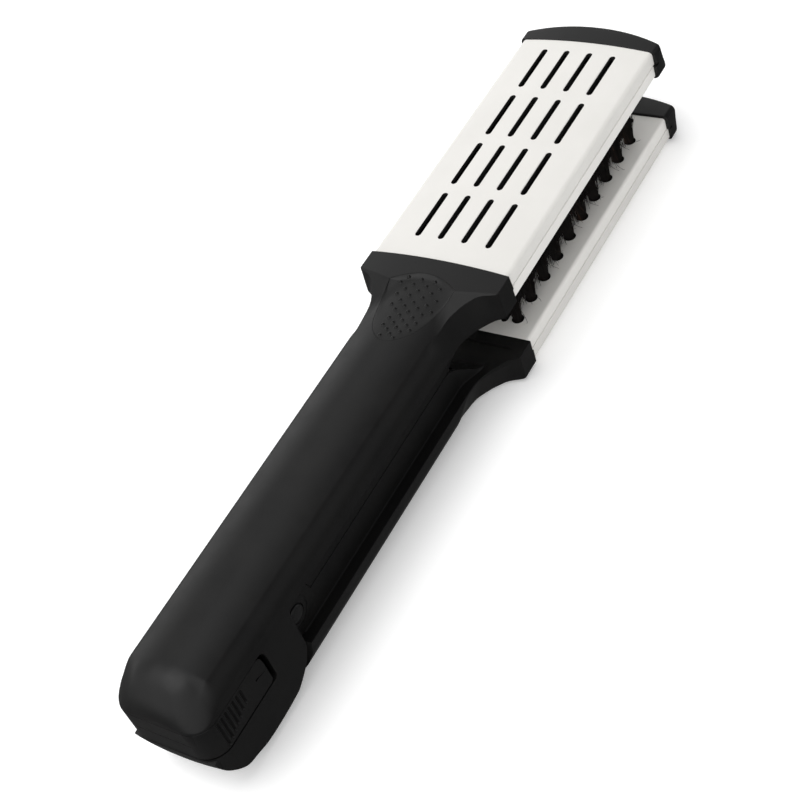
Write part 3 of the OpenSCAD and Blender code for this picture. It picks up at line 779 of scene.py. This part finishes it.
def upper_shell():
    # handle and tail are one solid, built deep and trimmed to the outline
    o = make("upper_handle_shell_v", *shell_solid(), M["black"], True)
    ck = spline(CHEEK, 6)
    poly = np.vstack([[[30.0, ARM]], ck, [[-150, 23.0], [-150, 50], [30.0, 50]]])
    boolean(o, make("c", *prism(poly, "y", -40, 40), None, True))
    boolean(o, hollow(True, -88.0))
    boolean(o, make("c", *tail_solid(2.0, -91.0), None, True))
    boolean(o, pad_cutter(True))
    win = round_poly(WIN, [0.8, 0.8, 1.0, 1.5, 0.6, 0.6, 0.5, 0, 0], 5)
    boolean(o, make("c", *prism(win, "y", -40, 40), None, True))
    boolean(o, make("c", *prism([(23.9, SEAM + 0.1), (28, SEAM + 0.1), (28, 14), (23.9, 14)], "y", -30, 30), None, True))
    tidy(o)
    finish_mesh(o)
    return piece(o, "upper_arm", "black_shell", "upper_handle_shell")


# ---------------------------------------------------------------- thumb grips
PAD_ROWS = [(16.1, -3.45, 3), (13.95, -6.2, 4), (11.8, -4.4, 3), (9.5, -7.3, 4), (7.1, -5.4, 3), (5.2, -7.9, 4),
            (3.3, -5.7, 3), (1.4, -3.7, 2), (-0.4, -5.85, 3), (-2.05, -3.6, 2), (-3.65, -5.6, 3), (-5.1, -3.1, 2),
            (-6.65, -0.4, 1), (-8.0, -2.45, 2), (-9.2, 0.24, 0)]


def grip_dots():
    return np.array([(x, y0 + 4.65 * i) for x, y0, n in PAD_ROWS for i in range(n)])


def thumb_pad(arm):
    U = arm == "upper"
    g = 0.07
    ys = np.linspace(-11.42, 11.42, 181)
    dots = grip_dots()
    nx = 201
    bump_ = []
    top = np.zeros((len(ys), nx, 3))
    for k, y in enumerate(ys):
        a = abs(y)
        xf = 18.3 - g - 0.032 * a * a
        xr = min(float(pad_rear(a, g)), xf - 0.3)
        xs = xr + (xf - xr) * np.linspace(0, 1, nx)
        z = np.array([float(top_depth(float(v), np.array(y))) for v in xs]) 
        u = (xs - xr) / (xf - xr)
        v = max(0.0, 1 - (a / 11.5) ** 2)
        z = z + 0.05 + 0.85 * v ** 0.8 * smooth01(u / 0.5) * np.minimum(1.0, (1 - (1 - np.minimum(1, (1 - u) / 0.10)) ** 2))
        for cx, cy in dots:
            r2 = (xs - cx) ** 2 + (y - cy) ** 2
            m_ = r2 < 0.60 ** 2
            if m_.any():
                z[m_] -= 0.47 * np.power(np.maximum(0, 1 - r2[m_] / 0.60 ** 2), 0.5)
                bump_ += [k * nx + int(q) for q in np.nonzero(m_)[0]]
        top[k, :, 0], top[k, :, 1], top[k, :, 2] = xs, y, z
    n, m2 = len(ys), nx
    T = top.reshape(-1, 3)
    rim = [j for j in range(m2)] + [i * m2 + m2 - 1 for i in range(1, n)] \
        + [(n - 1) * m2 + j for j in range(m2 - 2, -1, -1)] + [i * m2 for i in range(n - 2, 0, -1)]
    low = T[rim] * np.array([1, 1, 0]) + np.array([0, 0, 4.2])
    V = np.vstack([T, low])
    F = []
    for i in range(n - 1):
        for j in range(m2 - 1):
            a = i * m2 + j
            F.append([a, a + 1, a + m2 + 1, a + m2])
    o2, nr = n * m2, len(rim)
    for i in range(nr):
        i2 = (i + 1) % nr
        F.append([rim[i2], rim[i], o2 + i, o2 + i2])
    F.append([o2 + i for i in range(nr)][::-1])
    o = make(arm + "_thumb_pad_v", V, F, [M["pad"], M["dot"]], U, 50)
    # painted shade: faces on the dots take the darker dot material
    bump_ = set(bump_)
    for p in o.data.polygons:
        if len(p.vertices) == 4 and all(q in bump_ for q in p.vertices):
            p.material_index = 1
    return piece(o, arm + "_arm", "grip_pad", arm + "_thumb_pad")


# ---------------------------------------------------------------- covers between the arms
def circle_pts(cx, cz, r, n=72, a0=0.0, a1=360.0):
    a = np.radians(np.linspace(a0, a1, n + 1))
    if a1 - a0 >= 360:
        a = a[:-1]
    return np.column_stack([cx + r * np.cos(a), cz + r * np.sin(a)])


def lathe_y(profile, cx, cz, n=72):
    """(r, y) points turned round an axis along Y."""
    P = np.array(profile, float)
    a = np.radians(np.linspace(0, 360, n + 1)[:-1])
    rings = []
    for r, y in P:
        r = max(r, 1e-4)
        rings.append(np.column_stack([cx + r * np.cos(a), np.full(n, y), cz + r * np.sin(a)]))
    return loft(rings)


def cover_plan(x0, g=0.1):
    xs = np.concatenate([[23.85, 20.0, 17.0], np.linspace(16, -3, 40), [-20, -60, x0]])
    w = np.array([half_w(x) for x in xs]) - 2.0 - g
    P = np.column_stack([xs, w])
    return np.vstack([P, P[::-1] * np.array([1, -1])])


def spine_half(k):
    """Half of the spine's section; k squeezes its height."""
    p = np.vstack([[[13.3, ARM - 0.6], [13.3, ARM - 0.05]], bez((12.7, ARM), (12.4, ARM), (12.3, ARM + 0.08), (12.28, ARM + 0.45), 6),
                   [[12.15, 14.0], [12.0, 17.0]], bez((11.92, CREST - 0.5), (11.9, CREST - 0.15), (11.8, CREST), (11.4, CREST), 6, True),
                   [[5, CREST], [0, CREST]]])
    z = p[:, 1]
    p[:, 1] = np.where(z > ARM, ARM + (z - ARM) * k, z)
    return p


def spine(x0):
    rings = []
    xs = [x0, -60, -20, -8.0, -5.0] + list(np.linspace(-3.0, 12.4, 24))
    for x in xs:
        t = (x + 3.0) / 15.0
        k = 1.0 if t <= 0 else 1 - float(smooth01(t))
        k = max(0.01, k)
        h = spine_half(float(k))
        sh = 1 + 0.30 * float(smooth01((x - 0.5) / 11.5))
        h = h * np.array([sh, 1])
        P = np.vstack([h, h[::-1][1:] * np.array([-1, 1])])
        rings.append(np.column_stack([np.full(len(P), x), P]))
    return loft(rings)


def bevel(o, width, seg=2, angle=35):
    m_ = o.modifiers.new("edge", "BEVEL")
    m_.width = width * MM
    m_.segments = seg
    m_.limit_method = "ANGLE"
    m_.angle_limit = math.radians(angle)
    m_.use_clamp_overlap = True
    m_.harden_normals = False
    return o


def inner_cover(arm):
    U = arm == "upper"
    o = make(arm + "_inner_cover_v", *prism(cover_plan(-95.4 if U else -97.0), "z", 9.3, ARM - 0.02), M["black"], U)
    c = make("c", *spine(XH), None, U)
    boolean(o, c, "UNION")
    boolean(o, make("c", *prism([(19.2, ARM - 0.3), (19.5, ARM - 0.3), (19.5, ARM + 1), (19.2, ARM + 1)], "y", -21, 21), None, U))
    if not U:
        for s in (-1, 1):
            lo_, hi_ = sorted((s * 9.2, s * 12.3))
            boolean(o, make("c", *prism(circle_pts(XH, MID, 8.5), "y", lo_, hi_), None, U), "UNION")
            boolean(o, make("c", *prism([(XH, 9.4), (XH + 8, 9.4), (XH + 8, CREST - 0.1), (XH, CREST - 0.1)], "y", lo_, hi_ - 0.02), None, U), "UNION")
    # hollow
    boolean(o, make("c", *prism([(-86, 8), (3.5, 8), (3.5, CREST - 1.8), (-86, CREST - 1.8)], "y", -10.1, 10.1), None, U))
    if not U:
        boolean(o, make("c", *prism(circle_pts(XH, MID, 6.5), "y", -9.2, 9.2), None, U))
        boolean(o, make("c", *prism([(XH - 9, ARM + 1.9), (XH + 6.6, ARM + 1.9), (XH + 6.6, 30), (XH - 9, 30)], "y", -9.199, 9.199), None, U))
        boolean(o, make("c", *prism([(-84, 9.4), (-96.4, 9.4), (-97.6, 10.6), (-101, 10.6), (-107.4, 17.1), (-120, 17.1),
                                     (-120, MID - 0.6), (-105.5, MID - 0.6), (-99.8, 13.2), (-84, 13.2)], "y", -5.5, 5.5), None, U), "UNION")
        for s in (-1, 1):
            lo_, hi_ = sorted((s * 5.5, s * 30))
            boolean(o, make("c", *prism([(-100, 5), (-95.2, 5), (-95.2, 12.0), (-100, 12.0)], "y", lo_, hi_), None, U))
    else:
        for s in (-1, 1):
            lo_, hi_ = sorted((s * 9.0, s * 30))
            boolean(o, make("c", *prism(circle_pts(XH, MID, 8.8), "y", lo_, hi_), None, U))
        boolean(o, make("c", *prism([(XH - 8, ARM), (XH + 6.6, ARM), (XH + 6.6, 30), (XH - 8, 30)], "y", -9.201, 9.201), None, U))
        for s in (-1, 1):
            lo_, hi_ = sorted((s * 4.6, s * 8.6))
            kn = np.vstack([circle_pts(XH, MID, 6.0, 36, 0, 180), [[XH - 6, ARM - 1.9], [XH + 6, ARM - 1.9]]])
            boolean(o, make("c", *prism(kn, "y", lo_, hi_), None, U), "UNION")
    boolean(o, make("c", *prism(circle_pts(XH, MID, 2.04, 32), "y", -14, 14), None, U))
    if not U:
        # raised round mound with a ring groove at the pin's head
        for s in (-1, 1):
            prof = np.vstack([[[2.04, 12.0]], [[3.35, 12.0], [3.35, 12.72]],
                              bez((3.35, 12.72), (3.4, 12.8), (3.6, 12.8), (4.2, 12.78), 4, True),
                              bez((4.2, 12.78), (4.9, 12.72), (5.1, 12.5), (5.6, 12.28), 6, True), [[5.6, 11.6], [2.04, 11.6]]])
            V, F = lathe_y(np.vstack([prof, prof[:1]]), XH, MID)
            # close the ring: drop the caps that loft added
            V, F = V, F[:-2]
            if s < 0:
                V = V * np.array([1, -1, 1])
            r = make(arm + "_boss_" + ("a" if s < 0 else "b"), V, F, M["black"], False)
            tidy(r)
            finish_mesh(r)
            piece(r, "lower_arm", "black_shell")
    # screw seats in the crest
    for x in (-70, -25):
        boolean(o, make("c", *prism(circle_pts(x, 0, 2.7, 40), "z", CREST - 1.2, CREST + 1), None, U))
        boolean(o, make("c", *prism(circle_pts(x, 0, 1.5, 32), "z", CREST - 4, CREST + 1), None, U))
    boolean(o, make("c", *prism(circle_pts(12, 0, 2.7, 40), "z", ARM - 1.15, ARM + 1), None, U))
    boolean(o, make("c", *prism(circle_pts(12, 0, 1.5, 32), "z", ARM - 4, ARM + 1), None, U))
    tidy(o)
    finish_mesh(o)
    return piece(o, arm + "_arm", "black_shell", arm + "_inner_cover")


# ---------------------------------------------------------------- hinge pin
def hinge_pin():
    dome_ = [(3.0 * math.cos(a), 12.75 + 0.85 * math.sin(a)) for a in np.radians(np.linspace(0, 88, 12))]
    half = [(2.0, 0.0), (2.0, 12.35), (2.9, 12.36), (3.0, 12.46)] + dome_
    full = [(r, -y) for r, y in half[::-1]][:-1] + half
    o = make("hinge_pin_v", *lathe_y(full, XH, MID, 48), M["pin"], False)
    return piece(o, "lower_arm", "pin", "hinge_pin")


# ---------------------------------------------------------------- tail: shell, slide, cover
def tail_solid(off, x_from, extra=0.0):
    rings = []
    for x in [x_from] + [t for t in tail_stations() if t < x_from - 0.5]:
        ring = section(x, 38.0, off)
        if x < -126:
            ring[:, 0] = -126 + (x + 126) * (13 - off) / 13
        rings.append(ring)
    return loft(rings)


def grooves(U):
    parts = []
    for s in (-1, 1):
        for i in range(7):
            x = -132.85 + i * 1.77
            z0, z1 = 12.2 + 0.05 * i, 22.6 - i * 0.72
            rings = []
            for yy, dz, dx in ((16.6, 0.9, 0.42), (16.0, 0.3, 0.16), (15.72, 0.1, 0.0), (15.4, -0.3, -0.24)):
                P = round_poly([(x - dx, z0 - dz), (x + 0.8 + dx, z0 - dz), (x + 0.8 + dx, z1 + dz), (x - dx, z1 + dz)], 0.4, 4)
                rings.append(np.column_stack([P[:, 0], np.full(len(P), s * yy), P[:, 1]]))
            parts.append(loft(rings))
        # short plain dash
        Q = [(-116.1, 15.98), (-115.0, 16.12), (-114.6, 16.3), (-111.9, 17.3), (-111.86, 17.42), (-114.6, 16.62), (-115.1, 16.62), (-116.1, 16.6)]
        lo_, hi_ = sorted((s * 15.6, s * 16.8))
        parts.append(prism(Q, "y", lo_, hi_))
    # faint line across the end
    parts.append(prism([(TAIL - 1, 16.9), (TAIL + 0.12, 16.9), (TAIL + 0.12, 17.15), (TAIL - 1, 17.15)], "y", -9.5, 9.5))
    return parts


def lock_slide():
    o = make("lock_slide_v", *tail_solid(0.0, -104.0), M["black"], True)
    W = WIN + np.array([-1.75, 0.0])
    W[0, 1] = W[-1, 1] = 11.24
    W[5:8, 1] -= 0.62
    W[0, 0] -= 0.2
    win = round_poly(W, [0.8, 0.8, 1.0, 1.5, 0.6, 0.6, 0.5, 0, 0], 5)
    boolean(o, make("c", *prism(win, "y", -40, 40), None, True), "INTERSECT")
    boolean(o, make("c", *tail_solid(2.3, -100.0), None, True))
    for p in grooves(True):
        boolean(o, make("c", *p, None, True))
    tidy(o)
    finish_mesh(o, 30)
    return piece(o, "lock", "black_shell", "lock_slide")


def tail_cover():
    ck = spline(CHEEK[5:], 8)
    ck = ck[ck[:, 1] > 23.9]
    d = np.gradient(ck, axis=0)
    nrm = np.column_stack([d[:, 1], -d[:, 0]])
    nrm /= np.linalg.norm(nrm, axis=1)[:, None]
    mid_ = np.array([-115.0, 24.0])
    sgn = np.sign(((mid_ - ck) * nrm).sum(1))[:, None]
    nrm = nrm * sgn
    swell = smooth01((-118 - ck[:, 0]) / 14)[:, None]
    rings = []
    for y in np.linspace(-13.85, 13.85, 25):
        c = 0.12 - 0.85 * swell * (1 - (abs(y) / 13.85) ** 2.2)
        P = np.vstack([ck + nrm * c, (ck + nrm * 2.1)[::-1]])
        rings.append(np.column_stack([P[:, 0], np.full(len(P), y), P[:, 1]]))
    o = make("tail_cover_v", *loft(rings), M["black"], True)
    for s in (-1, 1):
        boolean(o, make("c", *prism(circle_pts(-105, s * 10.9, 2.3, 40), "z", 30.1, 35.2), None, True), "UNION")
        boolean(o, make("c", *prism(circle_pts(-105, s * 10.9, 1.95, 40), "z", 33.6, 44), None, True))
        boolean(o, make("c", *prism(circle_pts(-105, s * 10.9, 1.2, 32), "z", 20, 44), None, True))
    tidy(o)
    finish_mesh(o)
    return piece(o, "upper_arm", "black_shell", "tail_cover")


# ---------------------------------------------------------------- tufts
def tufts(arm):
    U = arm == "upper"
    g = np.random.default_rng(11 if U else 5)
    xy = np.array(tuft_xy(arm))
    V, F, T = [], [], []
    nv = 0
    SEG, SIDE = 6, 3
    ts = np.linspace(0, 1, SEG + 1)
    def hair(base, ctrl, tip, r0, r1, tone0, tone1):
        nonlocal nv
        P = ((1 - ts) ** 2)[:, None] * base + (2 * (1 - ts) * ts)[:, None] * ctrl + (ts ** 2)[:, None] * tip
        tan = np.gradient(P, axis=0)
        tan /= np.linalg.norm(tan, axis=1)[:, None]
        u = np.cross(tan, np.array([0.31, 0.9, 0.2]))
        u /= np.linalg.norm(u, axis=1)[:, None]
        w = np.cross(tan, u)
        r = (r0 + (r1 - r0) * ts ** 1.5)[:, None]
        for k in range(SIDE):
            a = 2 * math.pi * k / SIDE
            V.append(P + r * (u * math.cos(a) + w * math.sin(a)))
        T.append(np.tile(tone0 + (tone1 - tone0) * ts ** 1.6, SIDE))
        b = nv
        n = SEG + 1
        for k in range(SIDE):
            k2 = (k + 1) % SIDE
            for i in range(SEG):
                F.append([b + k * n + i, b + k2 * n + i, b + k2 * n + i + 1, b + k * n + i + 1])
        F.append([b + k * n for k in range(SIDE)][::-1])
        F.append([b + k * n + n - 1 for k in range(SIDE)])
        nv += SIDE * n
    side = -1
    for cx, cy in xy:
        # dense core, a fluted bundle
        lean = g.normal(0, 0.12, 2)
        na = 14
        levels = [(7.45, 1.0), (ARM, 1.0), (ARM + 4, 0.98), (ARM + 8.0, 0.9), (ARM + 10.5, 0.6), (ARM + 12.4, 0.25)]
        b = nv
        for z, r in levels:
            a = np.linspace(0, 2 * math.pi, na + 1)[:-1]
            rr = r * (1 + g.normal(0, 0.045, na))
            k = (z - ARM) / 16
            V.append(np.column_stack([cx + lean[0] * k * 4 + rr * np.cos(a), cy + lean[1] * k * 4 + rr * np.sin(a), np.full(na, z)]))
            T.append(np.full(na, 0.0))
        for i in range(len(levels) - 1):
            for j in range(na):
                j2 = (j + 1) % na
                F.append([b + i * na + j, b + i * na + j2, b + (i + 1) * na + j2, b + (i + 1) * na + j])
        F.append([b + j for j in range(na)][::-1])
        F.append([b + (len(levels) - 1) * na + j for j in range(na)])
        nv += na * len(levels)
        brown = g.uniform(0.0, 0.5)
        n_h = 140 if cy < -12 else (100 if cy > 12 else 46)
        for _ in range(n_h):
            a = g.uniform(0, 2 * math.pi)
            rb = 1.42 * math.sqrt(g.uniform(0.35, 1))
            kind = g.uniform()
            if kind < 0.30:                               # short and splayed
                hgt = g.uniform(3.5, 11.0)
                fl = 0.2 + g.uniform(0.4, 2.5) * (hgt / 11) ** 0.6
            elif kind < 0.58:
                hgt = max(8.0, 15.6 - abs(g.normal(0, 2.4)))
                fl = g.uniform(1.0, 3.0)
            else:
                hgt = max(8.0, 15.6 - abs(g.normal(0, 1.6)))
                fl = g.uniform(0.05, 1.3)
            da = a + g.normal(0, 0.6)
            k = hgt / 16
            sway = g.normal(0, 0.12, 2)
            base = np.array([cx + rb * math.cos(a), cy + rb * math.sin(a), 8.2])
            tip = np.array([cx + lean[0] * 4 * k + rb * math.cos(a) + fl * math.cos(da),
                            cy + lean[1] * 4 * k + rb * math.sin(a) + fl * math.sin(da), ARM + hgt])
            ctrl = np.array([cx + lean[0] * 1.6 * k + rb * 1.04 * math.cos(a) + sway[0],
                             cy + lean[1] * 1.6 * k + rb * 1.04 * math.sin(a) + sway[1], ARM + hgt * g.uniform(0.45, 0.7)])
            t1 = np.clip(g.normal(brown, 0.28), 0.0, 1)
            hair(base, ctrl, tip, g.uniform(0.08, 0.17), 0.045, g.uniform(0.0, 0.35), float(t1))
    # a few long loose hairs
    for sx, sy, dx, dy, z1, L in strays[arm]:
        base = np.array([sx, sy, ARM + L[0]])
        tip = np.array([sx + dx, sy + dy, z1])
        ctrl = base + np.array([dx * L[1], dy * L[2], (z1 - base[2]) * L[3]])
        hair(base, ctrl, tip, 0.085, 0.05, 0.25, L[4])
    V = np.vstack(V)
    T = np.concatenate(T)
    o = make(arm + "_bristles_v", V, F, M["hair"], U, 60)
    at = o.data.attributes.new("tone", "FLOAT", "POINT")
    at.data.foreach_set("value", T.astype(np.float32))
    return piece(o, arm + "_arm", "bristle", arm + "_bristles")


strays = {
    "lower": [(64.5, -17.5, 2.4, -4.2, 18.0, (7.0, 0.4, 0.5, 1.1, 0.9)),
              (83.3, -17.6, 3.4, -3.8, 13.6, (6.0, 0.6, 0.3, 1.4, 0.2)),
              (101.9, -17.8, -1.2, -4.6, 13.0, (5.0, 0.4, 0.5, 1.4, 0.3)),
              (111.6, -17.4, 4.6, -3.6, 12.4, (5.5, 0.5, 0.4, 1.2, 0.35)),
              (36.3, -17.6, 1.2, -5.2, 14.4, (8.0, 1.8, 1.0, 0.8, 0.5)),
              (31.9, -17.4, -2.6, -4.0, 12.6, (7.5, 0.2, 0.9, 1.3, 0.25)),
              (55.1, -17.6, 2.8, -3.6, 16.6, (6.5, 0.5, 0.3, 1.2, 1.0))],
    "upper": [(50.4, -17.6, 1.6, -4.4, 25.6, (9.0, 0.4, 0.4, 0.7, 0.8)),
              (69.2, -17.8, 2.2, -3.2, 26.4, (10.0, 0.5, 0.4, 0.7, 0.9)),
              (78.6, -17.6, 3.0, -4.4, 25.8, (8.0, 0.4, 0.4, 0.7, 0.4)),
              (97.4, -17.6, 1.8, -3.6, 26.6, (9.0, 0.4, 0.4, 0.7, 0.5)),
              (106.8, -17.5, 2.4, -3.0, 26.2, (9.0, 0.4, 0.4, 0.7, 0.7))],
}

# ---------------------------------------------------------------- build the pieces
for arm_ in ("lower", "upper"):
    outer_plate(arm_)
    inner_plate(arm_)
    tip_cap(arm_)
    thumb_pad(arm_)
    inner_cover(arm_)
    tufts(arm_)
lower_shell()
upper_shell()
hinge_pin()
lock_slide()
tail_cover()

# ---------------------------------------------------------------- floor, lights
def floor_mat():
    mt, nt, b = mat_new("pale_floor")
    n = noise(nt, 3.0, 2.0, 0.5)
    c = ramp(nt, n.outputs[0], (0.955, 0.955, 0.955), (0.965, 0.965, 0.965))
    nt.links.new(c.outputs[0], b.inputs["Base Color"])
    b.inputs["Roughness"].default_value = 0.95
    b.inputs["Specular IOR Level"].default_value = 0.1
    b.inputs["Emission Color"].default_value = (1, 1, 1, 1)
    b.inputs["Emission Strength"].default_value = 0.24
    return mt


me = bpy.data.meshes.new("floor")
me.from_pydata([(-6, -6, 0), (6, -6, 0), (6, 6, 0), (-6, 6, 0)], [], [(0, 1, 2, 3)])
floor = bpy.data.objects.new("floor", me)
floor.data.materials.append(floor_mat())
floor.visible_glossy = False
scene.collection.objects.link(floor)


def studio():
    """A soft studio: an even dome with broad lighter and darker panels in it."""
    w = bpy.data.worlds.new("studio")
    scene.world = w
    w.use_nodes = True
    nt = w.node_tree
    nt.nodes.clear()
    out = nt.nodes.new("ShaderNodeOutputWorld")
    bg = nt.nodes.new("ShaderNodeBackground")
    nt.links.new(bg.outputs[0], out.inputs[0])
    tc = nt.nodes.new("ShaderNodeTexCoord")

    def op(kind, a, b):
        n = nt.nodes.new("ShaderNodeMath")
        n.operation = kind
        for i, v in enumerate((a, b)):
            if isinstance(v, (int, float)):
                n.inputs[i].default_value = v
            else:
                nt.links.new(v, n.inputs[i])
        return n.outputs[0]

    def panel(v, lo, hi, amp):
        n = nt.nodes.new("ShaderNodeVectorMath")
        n.operation = "DOT_PRODUCT"
        nt.links.new(tc.outputs["Generated"], n.inputs[0])
        n.inputs[1].default_value = Vector(v).normalized()
        r = nt.nodes.new("ShaderNodeMapRange")
        r.interpolation_type = "SMOOTHSTEP"
        r.inputs["From Min"].default_value = lo
        r.inputs["From Max"].default_value = hi
        r.inputs["To Min"].default_value = 0.0
        r.inputs["To Max"].default_value = amp
        nt.links.new(n.outputs["Value"], r.inputs["Value"])
        return r.outputs[0]

    level = op("ADD", 0.82, panel((0.42, 0.905, 0.0), 0.76, 0.99, 0.62))
    for v, lo, hi, amp in (((0.47, -0.32, 0.82), 0.80, 0.985, -0.72),
                           ((-0.12, 0.28, 0.95), 0.915, 0.985, 3.3),
                           ((0.0, -0.97, 0.25), 0.30, 0.92, -0.42),
                           ((0.20, 0.72, 0.66), 0.90, 0.988, -0.50),
                           ((-0.75, -0.20, 0.60), 0.40, 0.90, 0.62)):
        level = op("ADD", level, panel(v, lo, hi, amp))
    level = op("MAXIMUM", level, 0.03)
    up = panel((0, 0, 1), -0.10, 0.06, 1.0)
    level = op("ADD", op("MULTIPLY", level, up), op("MULTIPLY", op("SUBTRACT", 1.0, up), 0.13))
    nt.links.new(level, bg.inputs["Strength"])
    bg.inputs["Color"].default_value = (1, 1, 1, 1)


studio()

scene.view_settings.view_transform = "Standard"
scene.view_settings.look = "None"

bpy.context.view_layer.update()
